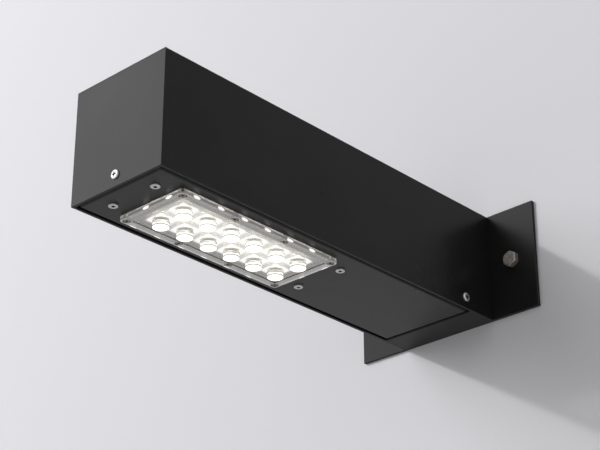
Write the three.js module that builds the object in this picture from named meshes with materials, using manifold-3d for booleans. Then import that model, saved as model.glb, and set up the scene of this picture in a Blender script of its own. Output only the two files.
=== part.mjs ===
// Wall-mounted LED area light: a welded sheet-metal box on a wall plate. A gear tray closes the underside,
// hangs on two side screws and swings down. It carries the lens array, LEDs, heat sink, driver and terminals.
// Millimetres. X runs to the right seen from the front, Y into the wall and Z up. The origin is the centre
// of the wall plate's back face, so the wall is the plane Y = 0 and the light reaches out along -Y.
import * as THREE from 'three';
import { mergeVertices } from 'three/addons/utils/BufferGeometryUtils.js';
import Module from 'manifold-3d';

// Housing and wall plate
const boxWidth = 101;
const boxHeight = 101;
const reach = 398;
const wallSheet = 2.5;
const foldRadius = 1.5;
const plateWidth = 199;
const plateSheet = 3;
const rearPanelSheet = 2;
const rearPanelDepth = 28.6;
const cableHoleRise = 20;
const cableHoleRadius = 10;

// Gear tray: its floor is the underside cover
const sideGap = 2;
const frontGap = 1.5;
const rearGap = 3.5;
const traySheet = 2;
const trayRim = 20.5;
const pivotInset = 5.4;
const serviceScrewHeight = 10;
const cutoutCorner = 4;

// LED module and lens array
const ledPitch = 25.4;
const ledRows = 2;
const ledColumns = 6;
const moduleFrontRoom = 10;
const lensMargin = 23;
const lensCorner = 2;
const lensHeight = 3.9;
const lensFloor = 2.7;
const lensBand = 7.2;
const opticReach = 9;
const opticRadius = 6.4;
const opticEdgeRadius = 1;
const collarRadius = 7;
const collarDrop = 3.2;
const cavityRadius = 4;
const cavityStraight = 1.8;
const cavityRise = 2;
const boardDepth = 4;
const boardSheet = 1.6;
const boardRoom = 3.5;
const padSheet = 0.5;
const ledSize = 3.5;
const ledBase = 0.7;
const ledDomeRadius = 1.4;
const gasketWidth = 1.8;
const gasketHeight = 1.2;
const gasketScrewGap = 0.6;
const gasketSeat = 0.5;
const lensScrewInset = 4.5;
const lensScrewsPerSide = 4;

// Heat sink
const heatSinkSideRoom = 3;
const heatSinkBase = 5;
const finHeight = 26;
const finSheet = 1.8;
const finCount = 11;
const bossRadius = 5;
const bossEdge = 0.25;
const bossBoreDepth = 8;
const bossTipGap = 0.5;

// Driver, then the wiring row: cable clamp, terminal block and earth lug, with shares of the row's free width
const gearGap = 5;
const clampSideShare = 0.09;
const clampBlockShare = 0.38;
const blockLugShare = 0.36;
const driverHeight = 28;
const driverEarWidth = 8;
const driverEarLength = 14;
const driverEarSheet = 3;
const blockRoom = 5.5;
const blockDepth = 14;
const blockHeight = 16;
const poleCount = 3;
const polePitch = 9;
const poleEdge = 6;
const wireHoleRadius = 1.6;
const wireHoleRise = 7;
const wireHoleDepth = 6;
const poleWellRadius = 1.8;
const poleWellDepth = 4;
const poleWellInset = 3.5;
const leadRoom = 8;
const clampDepth = 10;
const clampFoot = 7;
const clampFootSheet = 2.5;
const clampBore = 5;
const clampWall = 2.2;
const clampRise = 5;
const leadRadius = 1.2;
const ledLeadRadius = 0.8;
const ledLeadSpread = 5;
const lugRadius = 3.6;
const lugSheet = 0.8;
const earthTurnShare = 1 / 3;

// Fasteners and grommet
const boltShankRadius = 4;
const boltHeadHeight = 5.3;
const boltHeadAcross = 13;
const boltHeadChamfer = 0.9;
const serviceShankRadius = 2;
const serviceHeadRadius = 4;
const serviceHeadHeight = 1.6;
const headEdgeShare = 0.25;
const serviceCrossLength = 4.4;
const serviceCrossWidth = 0.9;
const serviceCrossDepth = 1.1;
const pivotShankPast = 1;
const spacerRadius = 4;
const pressNutRadius = 3.75;
const pressNutHeight = 3;
const clampNutAcross = 7;
const clampNutHeight = 3.2;
const slotPlay = 0.5;
const moduleScrewSpacing = 47;
const moduleScrewOffset = 16.25;
const moduleShankRadius = 2;
const moduleHeadRadius = 3.95;
const moduleHeadHeight = 1.6;
const moduleSocketRadius = 1.6;
const moduleSocketDepth = 1.1;
const lensShankRadius = 1.5;
const lensScrewLength = 6;
const lensHeadRadius = 2.75;
const lensHeadHeight = 2;
const lensHeadSink = 0.2;
const lensSocketRadius = 1.15;
const lensSocketDepth = 1.2;
const studRadius = 1.5;
const studPast = 1;
const nutAcross = 5.5;
const nutHeight = 2.4;
const grommetFlange = 2.5;
const grommetFlangeSheet = 2;
const grommetBore = 6;

// Clearances: round parts in their holes, and the overrun of every cut
const fitGap = 0.3;
const cutPast = 1;
const weldTolerance = 0.0001;

// Facets of round shapes
const roundSides = 16;
const smallSides = 10;
const arcSteps = 3;
const leadArcSteps = 4;
const earthLeadSteps = 16;

// Planes that the pieces share
const boxSide = boxWidth / 2;
const boxBottom = -boxHeight / 2;
const boxTop = boxHeight / 2;
const wallInner = boxSide - wallSheet;
const plateFront = -plateSheet;
const endInner = wallSheet - reach;
const rearPanelFront = plateFront - rearPanelDepth;
const traySide = wallInner - sideGap;
const trayInner = traySide - traySheet;
const trayFront = endInner + frontGap;
const trayRear = rearPanelFront - rearGap;
const pivotReach = pivotInset - trayRear;
const trayFloor = boxBottom + traySheet;
const trayRimTop = boxBottom + trayRim;
const serviceLevel = boxBottom + serviceScrewHeight;
const wallBoltX = (boxSide + plateWidth / 2) / 2;

const ledSpanX = (ledRows - 1) * ledPitch;
const ledSpanY = (ledColumns - 1) * ledPitch;
const lensLength = ledSpanY + 2 * lensMargin;
const moduleScrewSpanY = lensLength + 2 * moduleScrewOffset;
const lensScrewMargin = lensMargin - lensScrewInset;
const gasketOuterMargin = lensScrewMargin - lensShankRadius - fitGap - gasketScrewGap;
const gasketInnerMargin = gasketOuterMargin - gasketWidth;
const cutoutMargin = gasketInnerMargin - gasketSeat;
const boardMargin = cutoutMargin - boardRoom;
const heatSinkLength = moduleScrewSpanY + 2 * (bossRadius + bossEdge);
const heatSinkFront = trayFront + moduleFrontRoom;
const heatSinkRear = heatSinkFront + heatSinkLength;
const heatSinkSide = trayInner - heatSinkSideRoom;
const moduleY = heatSinkFront + heatSinkLength / 2;
const boardFace = boxBottom + boardDepth;
const boardBack = boardFace + boardSheet;
const heatSinkFace = boardBack + padSheet;
const lensFace = boxBottom - lensHeight;
const lensHeadSeat = lensFace + lensHeadSink + lensHeadHeight;
const moduleScrewLength = traySheet + bossBoreDepth - bossTipGap;

const blockRear = -pivotReach - blockRoom;
const blockFront = blockRear - blockDepth;
const driverRear = blockFront - leadRoom;
const driverFront = heatSinkRear + gearGap;
const driverSide = heatSinkSide - driverEarWidth;
const driverStudX = driverSide + driverEarWidth / 2;
const driverY = (driverRear + driverFront) / 2;
const wireLevel = trayFloor + wireHoleRise;
const clampSpan = 2 * (clampBore + clampWall + clampFoot);
const blockSpan = (poleCount - 1) * polePitch + 2 * poleEdge;
const rowRoom = 2 * (trayInner - lugRadius) - clampSpan - blockSpan;
const clampCentre = clampSpan / 2 + clampSideShare * rowRoom - trayInner;
const blockCentre = clampCentre + (clampSpan + blockSpan) / 2 + clampBlockShare * rowRoom;
const earthStudX = blockCentre + blockSpan / 2 + blockLugShare * rowRoom + lugRadius;
const poleStart = blockCentre - blockSpan / 2 + poleEdge;
const blockStudX = poleStart + (poleCount - 1) * polePitch - polePitch / 2;
const blockStudY = (blockRear + blockFront) / 2;
const clampReachX = clampBore + clampWall + clampFoot / 2;
const clampRear = blockRear - (blockDepth - clampDepth) / 2;
const clampStudY = clampRear - clampDepth / 2;
const earthStudY = blockStudY;

// Materials
const powderCoat = new THREE.MeshStandardMaterial({ color: 0x202123, roughness: 0.55, metalness: 0.2 });
const zincPlated = new THREE.MeshStandardMaterial({ color: 0xb9bcc0, roughness: 0.35, metalness: 0.9 });
const weatheredSteel = new THREE.MeshStandardMaterial({ color: 0x6f6a64, roughness: 0.55, metalness: 0.7 });
const bareAluminium = new THREE.MeshStandardMaterial({ color: 0xa8abb0, roughness: 0.45, metalness: 0.85 });
const clearAcrylic = new THREE.MeshStandardMaterial({ color: 0xd8dcdc, roughness: 0.15, metalness: 0 });
const whiteMask = new THREE.MeshStandardMaterial({ color: 0xf0f0ea, roughness: 0.6, metalness: 0 });
const ledSilicone = new THREE.MeshStandardMaterial({ color: 0xfff6d8, roughness: 0.3, metalness: 0 });
const greyPad = new THREE.MeshStandardMaterial({ color: 0x8d9296, roughness: 0.9, metalness: 0 });
const greySilicone = new THREE.MeshStandardMaterial({ color: 0xa7a9a8, roughness: 0.7, metalness: 0 });
const blackRubber = new THREE.MeshStandardMaterial({ color: 0x151515, roughness: 0.85, metalness: 0 });
const driverShell = new THREE.MeshStandardMaterial({ color: 0xd9dadb, roughness: 0.5, metalness: 0 });
const blockPlastic = new THREE.MeshStandardMaterial({ color: 0xe8e6de, roughness: 0.45, metalness: 0 });
const clampPlastic = new THREE.MeshStandardMaterial({ color: 0x2b2c2e, roughness: 0.6, metalness: 0 });
const redWire = new THREE.MeshStandardMaterial({ color: 0xb3241c, roughness: 0.5, metalness: 0 });
const blackWire = new THREE.MeshStandardMaterial({ color: 0x1c1c1c, roughness: 0.5, metalness: 0 });
const brownWire = new THREE.MeshStandardMaterial({ color: 0x6a3f22, roughness: 0.5, metalness: 0 });
const blueWire = new THREE.MeshStandardMaterial({ color: 0x2457a6, roughness: 0.5, metalness: 0 });
const earthWire = new THREE.MeshStandardMaterial({ color: 0x5f9a2e, roughness: 0.5, metalness: 0 });

// Shapes and solids
const wasm = await Module();
wasm.setup();

function solid(geometry) {
  const bare = geometry.clone();
  bare.deleteAttribute('normal');
  bare.deleteAttribute('uv');
  const merged = mergeVertices(bare, weldTolerance);
  return new wasm.Manifold(new wasm.Mesh({
    numProp: 3,
    vertProperties: new Float32Array(merged.attributes.position.array),
    triVerts: new Uint32Array(merged.index.array),
  }));
}

function geometryOf(body) {
  const mesh = body.getMesh();
  const geometry = new THREE.BufferGeometry();
  geometry.setAttribute('position', new THREE.BufferAttribute(mesh.vertProperties, mesh.numProp));
  geometry.setIndex(new THREE.BufferAttribute(mesh.triVerts, 1));
  geometry.computeVertexNormals();
  return geometry;
}

function join(bodies) {
  return bodies.reduce((whole, body) => whole.add(body));
}

function cut(body, tools) {
  return tools.reduce((left, tool) => left.subtract(tool), body);
}

function box([x0, y0, z0], [x1, y1, z1]) {
  const geometry = new THREE.BoxGeometry(x1 - x0, y1 - y0, z1 - z0);
  return solid(geometry.translate((x0 + x1) / 2, (y0 + y1) / 2, (z0 + z1) / 2));
}

// An upright round bar between two levels, and bars that lie along X or Y
function post(radius, x, y, low, high, sides = smallSides) {
  const geometry = new THREE.CylinderGeometry(radius, radius, high - low, sides).rotateX(Math.PI / 2);
  return solid(geometry.translate(x, y, (low + high) / 2));
}

function barAlongX(radius, low, high, y, z) {
  const geometry = new THREE.CylinderGeometry(radius, radius, high - low, roundSides).rotateZ(Math.PI / 2);
  return solid(geometry.translate((low + high) / 2, y, z));
}

function barAlongY(radius, low, high, x, z) {
  const geometry = new THREE.CylinderGeometry(radius, radius, high - low, roundSides);
  return solid(geometry.translate(x, (low + high) / 2, z));
}

// A solid of revolution about Z, from a profile of [radius, height] pairs that closes on the axis
function turned(profile, sides = roundSides) {
  const points = profile.map(([radius, height]) => new THREE.Vector2(radius, height));
  return solid(new THREE.LatheGeometry(points, sides).rotateX(Math.PI / 2));
}

function outline(points) {
  return new THREE.Shape(points.map(([x, y]) => new THREE.Vector2(x, y)));
}

function rectangle(x0, y0, x1, y1) {
  return outline([[x0, y0], [x1, y0], [x1, y1], [x0, y1]]);
}

function roundedRectangle(x0, y0, x1, y1, radius) {
  const shape = new THREE.Shape();
  shape.absarc(x1 - radius, y0 + radius, radius, -Math.PI / 2, 0);
  shape.absarc(x1 - radius, y1 - radius, radius, 0, Math.PI / 2);
  shape.absarc(x0 + radius, y1 - radius, radius, Math.PI / 2, Math.PI);
  shape.absarc(x0 + radius, y0 + radius, radius, Math.PI, Math.PI * 1.5);
  shape.closePath();
  return shape;
}

function hexagon(across) {
  const corner = across / Math.sqrt(3);
  const turns = [...Array(6).keys()].map((side) => (side / 6) * Math.PI * 2 + Math.PI / 2);
  return outline(turns.map((angle) => [corner * Math.cos(angle), corner * Math.sin(angle)]));
}

// Sheets cut to a shape: lying flat between two levels, or standing between two planes across Y
function flatSheet(shape, low, high) {
  const options = { depth: high - low, bevelEnabled: false, curveSegments: arcSteps };
  return solid(new THREE.ExtrudeGeometry(shape, options).translate(0, 0, low));
}

function standingSheet(shape, front, back) {
  const options = { depth: back - front, bevelEnabled: false, curveSegments: arcSteps };
  return solid(new THREE.ExtrudeGeometry(shape, options).rotateX(Math.PI / 2).translate(0, back, 0));
}

function cable(path, radius, steps) {
  const section = new THREE.Shape().absarc(0, 0, radius, 0, Math.PI * 2);
  return solid(new THREE.ExtrudeGeometry(section, { steps, curveSegments: leadArcSteps, extrudePath: path }));
}

const light = new THREE.Group();
light.name = 'wall_area_light';

function place(name, body, material, position = [0, 0, 0], rotation = [0, 0, 0]) {
  const mesh = new THREE.Mesh(geometryOf(body), material);
  mesh.name = name;
  mesh.position.set(...position);
  mesh.rotation.set(...rotation);
  light.add(mesh);
}

const facingOut = [Math.PI / 2, 0, 0];
const facingRight = [0, Math.PI / 2, 0];
const facingLeft = [0, -Math.PI / 2, 0];
const facingDown = [Math.PI, 0, 0];

// Wall plate: bolted to the wall by its two flanges
const plate = cut(box([-plateWidth / 2, plateFront, boxBottom], [plateWidth / 2, 0, boxTop]), [
  barAlongY(boltShankRadius + fitGap, plateFront - cutPast, cutPast, -wallBoltX, 0),
  barAlongY(boltShankRadius + fitGap, plateFront - cutPast, cutPast, wallBoltX, 0),
  barAlongY(cableHoleRadius, plateFront - cutPast, cutPast, 0, cableHoleRise),
]);
place('wall_plate', plate, powderCoat);

// Housing shell: top and sides folded from one sheet, open underneath
function boxEnd() {
  const shape = new THREE.Shape();
  shape.moveTo(-boxSide, boxBottom);
  shape.lineTo(boxSide, boxBottom);
  shape.absarc(boxSide - foldRadius, boxTop - foldRadius, foldRadius, 0, Math.PI / 2);
  shape.absarc(foldRadius - boxSide, boxTop - foldRadius, foldRadius, Math.PI / 2, Math.PI);
  shape.closePath();
  return shape;
}

const hollow = box([-wallInner, endInner - cutPast, boxBottom - cutPast],
  [wallInner, plateFront + cutPast, boxTop - wallSheet]);
const pivotHoles = barAlongX(serviceShankRadius + fitGap, -boxSide - cutPast, boxSide + cutPast,
  -pivotReach, serviceLevel);
const shell = cut(standingSheet(boxEnd(), endInner, plateFront), [hollow, pivotHoles]);
place('housing_shell', shell, powderCoat);

// End plate: closes the box, with the end screw's hole
const endPlate = cut(standingSheet(boxEnd(), -reach, endInner), [
  barAlongY(serviceShankRadius + fitGap, -reach - cutPast, endInner + cutPast, 0, serviceLevel),
]);
place('end_plate', endPlate, powderCoat);

// Rear panel: the short fixed stretch of the underside next to the wall
const rearPanel = box([-wallInner, rearPanelFront, boxBottom],
  [wallInner, plateFront, boxBottom + rearPanelSheet]);
place('rear_panel', rearPanel, powderCoat);

// Wall bolts: hex heads against the plate, shanks that end short of the wall's surface
function hexBolt(shankLength) {
  const corner = boltHeadAcross / Math.sqrt(3);
  const rim = corner - boltHeadChamfer;
  const turnedHead = turned([[0, 0], [corner, 0], [corner, boltHeadHeight - boltHeadChamfer / 2],
    [rim, boltHeadHeight], [0, boltHeadHeight]]);
  const head = flatSheet(hexagon(boltHeadAcross), 0, boltHeadHeight).intersect(turnedHead);
  return head.add(post(boltShankRadius, 0, 0, -shankLength, boltHeadHeight / 2, roundSides));
}

const wallBolt = hexBolt(plateSheet - fitGap);
place('wall_bolt_left', wallBolt, weatheredSteel, [-wallBoltX, plateFront, 0], facingOut);
place('wall_bolt_right', wallBolt, weatheredSteel, [wallBoltX, plateFront, 0], facingOut);

// Cable grommet: a rubber collar in the wall plate's cable hole, flush with the wall
const grommetNeck = cableHoleRadius - fitGap;
const grommet = turned([[grommetBore, 0], [grommetNeck, 0], [grommetNeck, plateSheet],
  [cableHoleRadius + grommetFlange, plateSheet],
  [cableHoleRadius + grommetFlange, plateSheet + grommetFlangeSheet],
  [grommetBore, plateSheet + grommetFlangeSheet], [grommetBore, 0]]);
place('cable_grommet', grommet, blackRubber, [0, 0, cableHoleRise], facingOut);

// Domed screws: the head sits on Z = 0 and the shank runs down from it
function domedHead(radius, height, sides) {
  const edge = height * headEdgeShare;
  const rise = height - edge;
  const profile = [[0, 0], [radius, 0], [radius, edge]];
  for (let step = 1; step < arcSteps; step += 1) {
    const angle = (step / arcSteps) * (Math.PI / 2);
    profile.push([radius * Math.cos(angle), edge + rise * Math.sin(angle)]);
  }
  profile.push([0, height]);
  return turned(profile, sides);
}

function serviceScrew(length) {
  const half = serviceCrossLength / 2;
  const thin = serviceCrossWidth / 2;
  const floor = serviceHeadHeight - serviceCrossDepth;
  const roof = serviceHeadHeight + cutPast;
  const head = cut(domedHead(serviceHeadRadius, serviceHeadHeight, roundSides), [
    box([-half, -thin, floor], [half, thin, roof]),
    box([-thin, -half, floor], [thin, half, roof]),
  ]);
  return head.add(post(serviceShankRadius, 0, 0, -length, floor / 2, roundSides));
}

function socketScrew({ headRadius, headHeight, shankRadius, length, socketRadius, socketDepth, sides }) {
  const socket = new THREE.CylinderGeometry(socketRadius, socketRadius, socketDepth + cutPast, 6);
  socket.rotateX(Math.PI / 2).translate(0, 0, headHeight + (cutPast - socketDepth) / 2);
  const head = domedHead(headRadius, headHeight, sides).subtract(solid(socket));
  return head.add(post(shankRadius, 0, 0, -length, (headHeight - socketDepth) / 2, sides));
}

function ring(outer, inner, thickness) {
  return turned([[inner, 0], [outer, 0], [outer, thickness], [inner, thickness], [inner, 0]]);
}

function hexNut(across, bore, height) {
  return flatSheet(hexagon(across), 0, height).subtract(post(bore, 0, 0, -cutPast, height + cutPast));
}

// Side screws: the tray's pivots, with spacers fixed to the walls and press nuts on the tray
const pivotEnd = trayInner - pressNutHeight - pivotShankPast;
const pivotScrew = serviceScrew(boxSide - pivotEnd);
const pivotSpacer = ring(spacerRadius, serviceShankRadius + fitGap, sideGap - fitGap);
const pressNut = ring(pressNutRadius, serviceShankRadius + fitGap, pressNutHeight);
place('pivot_screw_right', pivotScrew, zincPlated, [boxSide, -pivotReach, serviceLevel], facingRight);
place('pivot_screw_left', pivotScrew, zincPlated, [-boxSide, -pivotReach, serviceLevel], facingLeft);
place('pivot_spacer_right', pivotSpacer, zincPlated, [wallInner, -pivotReach, serviceLevel], facingLeft);
place('pivot_spacer_left', pivotSpacer, zincPlated, [-wallInner, -pivotReach, serviceLevel], facingRight);
place('pivot_nut_right', pressNut, zincPlated, [trayInner, -pivotReach, serviceLevel], facingLeft);
place('pivot_nut_left', pressNut, zincPlated, [-trayInner, -pivotReach, serviceLevel], facingRight);

// End screw: clamps the tray's front rim, which has a slot open at the top, against a spacer
const clampNutFront = trayFront + traySheet + slotPlay;
const endSpacer = ring(spacerRadius, serviceShankRadius + fitGap, frontGap - slotPlay);
const endScrew = serviceScrew(reach + clampNutFront + clampNutHeight);
const endNut = hexNut(clampNutAcross, serviceShankRadius + fitGap, clampNutHeight);
place('end_screw', endScrew, zincPlated, [0, -reach, serviceLevel], facingOut);
place('end_screw_spacer', endSpacer, zincPlated, [0, trayFront - slotPlay, serviceLevel], facingOut);
place('end_screw_nut', endNut, zincPlated, [0, clampNutFront + clampNutHeight, serviceLevel], facingOut);

// Places of the repeated pieces
function gridPlaces(spanX, spanY, countX, countY) {
  const places = [];
  for (let column = 0; column < countY; column += 1) {
    for (let row = 0; row < countX; row += 1) {
      const x = (row / (countX - 1) - 1 / 2) * spanX;
      const y = moduleY + (column / (countY - 1) - 1 / 2) * spanY;
      places.push([x, y]);
    }
  }
  return places;
}

const ledPlaces = gridPlaces(ledSpanX, ledSpanY, ledRows, ledColumns);
const moduleScrewPlaces = gridPlaces(moduleScrewSpacing, moduleScrewSpanY, 2, 2);
const lensScrewSpanX = ledSpanX + 2 * lensScrewMargin;
const lensScrewSpanY = ledSpanY + 2 * lensScrewMargin;
const lensScrewPlaces = gridPlaces(lensScrewSpanX, lensScrewSpanY, 2, lensScrewsPerSide);

// A rectangle centred on the LED module, a margin wider than the LED grid on every side
function moduleRectangle(margin) {
  const halfX = ledSpanX / 2 + margin;
  const halfY = ledSpanY / 2 + margin;
  return [-halfX, moduleY - halfY, halfX, moduleY + halfY];
}

// Gear tray: floor with the optics' cut-out, upturned rims at the sides and front, and weld studs
const trayOutline = rectangle(-traySide, trayFront, traySide, trayRear);
trayOutline.holes.push(roundedRectangle(...moduleRectangle(cutoutMargin), cutoutCorner));
const trayHoles = [
  ...moduleScrewPlaces.map((place) => [...place, moduleShankRadius + fitGap]),
  ...lensScrewPlaces.map((place) => [...place, lensShankRadius + fitGap]),
].map(([x, y, radius]) => post(radius, x, y, boxBottom - cutPast, trayFloor + cutPast));

const driverStudTop = trayFloor + driverEarSheet + nutHeight + studPast;
const blockStudTop = trayFloor + blockHeight + nutHeight + studPast;
const clampStudTop = trayFloor + clampFootSheet + nutHeight + studPast;
const earthStudTop = trayFloor + lugSheet + nutHeight + studPast;
const studs = [
  [driverStudX, driverY, driverStudTop],
  [-driverStudX, driverY, driverStudTop],
  [blockStudX, blockStudY, blockStudTop],
  [clampCentre - clampReachX, clampStudY, clampStudTop],
  [clampCentre + clampReachX, clampStudY, clampStudTop],
  [earthStudX, earthStudY, earthStudTop],
];
const endSlot = join([
  barAlongY(serviceShankRadius + fitGap, trayFront - cutPast, trayFront + traySheet + cutPast, 0,
    serviceLevel),
  box([-serviceShankRadius - fitGap, trayFront - cutPast, serviceLevel],
    [serviceShankRadius + fitGap, trayFront + traySheet + cutPast, trayRimTop + cutPast]),
]);
const tray = cut(join([
  flatSheet(trayOutline, boxBottom, trayFloor),
  box([-traySide, trayFront, boxBottom], [-trayInner, trayRear, trayRimTop]),
  box([trayInner, trayFront, boxBottom], [traySide, trayRear, trayRimTop]),
  box([-traySide, trayFront, boxBottom], [traySide, trayFront + traySheet, trayRimTop]),
  ...studs.map(([x, y, top]) => post(studRadius, x, y, boxBottom + traySheet / 2, top)),
]), [pivotHoles, endSlot, ...trayHoles]);
place('gear_tray', tray, powderCoat);

// Lens array: one clear moulding with a flange outside the cover and a collar round each LED
function chamferedRectangle(x0, y0, x1, y1, corner) {
  return outline([
    [x0 + corner, y0], [x1 - corner, y0], [x1, y0 + corner], [x1, y1 - corner],
    [x1 - corner, y1], [x0 + corner, y1], [x0, y1 - corner], [x0, y0 + corner],
  ]);
}

const gasketInner = moduleRectangle(gasketInnerMargin);
const gasketOuter = moduleRectangle(gasketOuterMargin);
const grooveInner = moduleRectangle(gasketInnerMargin - fitGap);
const grooveOuter = moduleRectangle(gasketOuterMargin + fitGap);

function frame(outer, inner, low, high) {
  const shape = rectangle(...outer);
  shape.holes.push(rectangle(...inner));
  return flatSheet(shape, low, high);
}

const opticFloor = boxBottom - lensFloor;
const opticEnd = boxBottom - opticReach;
const collarTop = boardFace - fitGap;
const optic = turned([
  [0, opticEnd], [opticRadius - opticEdgeRadius, opticEnd], [opticRadius, opticEnd + opticEdgeRadius],
  [opticRadius, opticFloor - collarDrop], [collarRadius, opticFloor - collarDrop],
  [collarRadius, collarTop], [0, collarTop],
]);
const cavityRoof = collarTop - cavityStraight;
const cavity = turned([
  [0, cavityRoof - cavityRise], [cavityRadius * Math.SQRT1_2, cavityRoof - cavityRise * Math.SQRT1_2],
  [cavityRadius, cavityRoof], [cavityRadius, collarTop + cutPast], [0, collarTop + cutPast],
], smallSides);
const lensOutline = chamferedRectangle(...moduleRectangle(lensMargin), lensCorner);
const lensPlate = flatSheet(lensOutline, lensFace, boxBottom);
const recessOutline = rectangle(...moduleRectangle(lensMargin - lensBand));
const lensRecess = flatSheet(recessOutline, lensFace - cutPast, opticFloor);
const gasketGroove = frame(grooveOuter, grooveInner, boxBottom - gasketHeight, boxBottom + cutPast);
const lensScrewHoles = lensScrewPlaces.flatMap(([x, y]) => [
  post(lensShankRadius + fitGap, x, y, lensFace - cutPast, boxBottom + cutPast),
  post(lensHeadRadius + fitGap, x, y, lensFace - cutPast, lensHeadSeat),
]);
const lens = cut(join([
  cut(lensPlate, [lensRecess]),
  ...ledPlaces.map(([x, y]) => optic.translate([x, y, 0])),
]), [
  gasketGroove,
  ...lensScrewHoles,
  ...ledPlaces.map(([x, y]) => cavity.translate([x, y, 0])),
]);
place('lens_array', lens, clearAcrylic);
place('lens_gasket', frame(gasketOuter, gasketInner, boxBottom - gasketHeight, boxBottom), greySilicone);

const lensScrew = socketScrew({
  headRadius: lensHeadRadius,
  headHeight: lensHeadHeight,
  shankRadius: lensShankRadius,
  length: lensScrewLength,
  socketRadius: lensSocketRadius,
  socketDepth: lensSocketDepth,
  sides: smallSides,
});
lensScrewPlaces.forEach(([x, y], index) => {
  place(`lens_screw_${index + 1}`, lensScrew, zincPlated, [x, y, lensHeadSeat], facingDown);
});

// LED board, thermal pad and LEDs
const boardPlan = moduleRectangle(boardMargin);
place('led_board', flatSheet(rectangle(...boardPlan), boardFace, boardBack), whiteMask);
place('thermal_pad', flatSheet(rectangle(...boardPlan), boardBack, heatSinkFace), greyPad);

const ledDome = turned([[0, 0], [ledDomeRadius, 0], [ledDomeRadius, ledBase],
  [ledDomeRadius * Math.SQRT1_2, ledBase + ledDomeRadius * Math.SQRT1_2], [0, ledBase + ledDomeRadius]],
smallSides);
const led = ledDome.add(box([-ledSize / 2, -ledSize / 2, 0], [ledSize / 2, ledSize / 2, ledBase]));
ledPlaces.forEach(([x, y], index) => {
  place(`led_${index + 1}`, led, ledSilicone, [x, y, boardFace], facingDown);
});

// Heat sink: a finned base with four bosses that stand on the tray's floor round the cover screws
function finProfile() {
  const baseTop = heatSinkFace + heatSinkBase;
  const finTop = baseTop + finHeight;
  const pitch = (2 * heatSinkSide - finSheet) / (finCount - 1);
  const points = [[-heatSinkSide, heatSinkFace], [heatSinkSide, heatSinkFace]];
  for (let fin = finCount - 1; fin >= 0; fin -= 1) {
    const low = fin * pitch - heatSinkSide;
    points.push([low + finSheet, baseTop], [low + finSheet, finTop], [low, finTop], [low, baseTop]);
  }
  const isRepeat = (point, index) => index > 0 && Math.hypot(point[0] - points[index - 1][0],
    point[1] - points[index - 1][1]) < weldTolerance;
  return outline(points.filter((point, index) => !isRepeat(point, index)));
}

const heatSink = cut(join([
  standingSheet(finProfile(), heatSinkFront, heatSinkRear),
  ...moduleScrewPlaces.map(([x, y]) => post(bossRadius, x, y, trayFloor, heatSinkFace + heatSinkBase / 2,
    roundSides)),
]), moduleScrewPlaces.map(([x, y]) => post(moduleShankRadius + fitGap, x, y, trayFloor - cutPast,
  trayFloor + bossBoreDepth, roundSides)));
place('heat_sink', heatSink, bareAluminium);

const moduleScrew = socketScrew({
  headRadius: moduleHeadRadius,
  headHeight: moduleHeadHeight,
  shankRadius: moduleShankRadius,
  length: moduleScrewLength,
  socketRadius: moduleSocketRadius,
  socketDepth: moduleSocketDepth,
  sides: roundSides,
});
moduleScrewPlaces.forEach(([x, y], index) => {
  place(`cover_screw_${index + 1}`, moduleScrew, zincPlated, [x, y, boxBottom], facingDown);
});

// LED driver: a sealed case with an ear on each side
const driver = cut(join([
  box([-driverSide, driverFront, trayFloor], [driverSide, driverRear, trayFloor + driverHeight]),
  box([-heatSinkSide, driverY - driverEarLength / 2, trayFloor],
    [heatSinkSide, driverY + driverEarLength / 2, trayFloor + driverEarSheet]),
]), [driverStudX, -driverStudX].map((x) => post(studRadius + fitGap, x, driverY, trayFloor - cutPast,
  trayFloor + driverEarSheet + cutPast)));
const studNut = hexNut(nutAcross, studRadius + fitGap, nutHeight);
place('led_driver', driver, driverShell);
place('driver_nut_right', studNut, zincPlated, [driverStudX, driverY, trayFloor + driverEarSheet]);
place('driver_nut_left', studNut, zincPlated, [-driverStudX, driverY, trayFloor + driverEarSheet]);

// Terminal block: one wire hole a pole at the driver's side and one at the wall's, with screw wells above
const poles = [...Array(poleCount).keys()].map((pole) => poleStart + pole * polePitch);
const blockTop = trayFloor + blockHeight;
const blockCuts = poles.flatMap((x) => [
  barAlongY(wireHoleRadius, blockFront - cutPast, blockFront + wireHoleDepth, x, wireLevel),
  barAlongY(wireHoleRadius, blockRear - wireHoleDepth, blockRear + cutPast, x, wireLevel),
  post(poleWellRadius, x, blockFront + poleWellInset, blockTop - poleWellDepth, blockTop + cutPast),
  post(poleWellRadius, x, blockRear - poleWellInset, blockTop - poleWellDepth, blockTop + cutPast),
]);
const block = cut(
  box([poleStart - poleEdge, blockFront, trayFloor],
    [poleStart + (poleCount - 1) * polePitch + poleEdge, blockRear, blockTop]),
  [...blockCuts, post(studRadius + fitGap, blockStudX, blockStudY, trayFloor - cutPast, blockTop + cutPast)],
);
place('terminal_block', block, blockPlastic);
place('terminal_block_nut', studNut, zincPlated, [blockStudX, blockStudY, blockTop]);

// Cable clamp: a saddle over the supply cable's path, on two studs
function saddle() {
  const inner = clampBore;
  const outer = clampBore + clampWall;
  const foot = outer + clampFoot;
  const archBase = trayFloor + clampRise;
  const shape = new THREE.Shape();
  shape.moveTo(clampCentre + inner, trayFloor);
  shape.lineTo(clampCentre + foot, trayFloor);
  shape.lineTo(clampCentre + foot, trayFloor + clampFootSheet);
  shape.lineTo(clampCentre + outer, trayFloor + clampFootSheet);
  shape.absarc(clampCentre, archBase, outer, 0, Math.PI);
  shape.lineTo(clampCentre - outer, trayFloor + clampFootSheet);
  shape.lineTo(clampCentre - foot, trayFloor + clampFootSheet);
  shape.lineTo(clampCentre - foot, trayFloor);
  shape.lineTo(clampCentre - inner, trayFloor);
  shape.absarc(clampCentre, archBase, inner, Math.PI, 0, true);
  shape.closePath();
  return shape;
}

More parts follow.
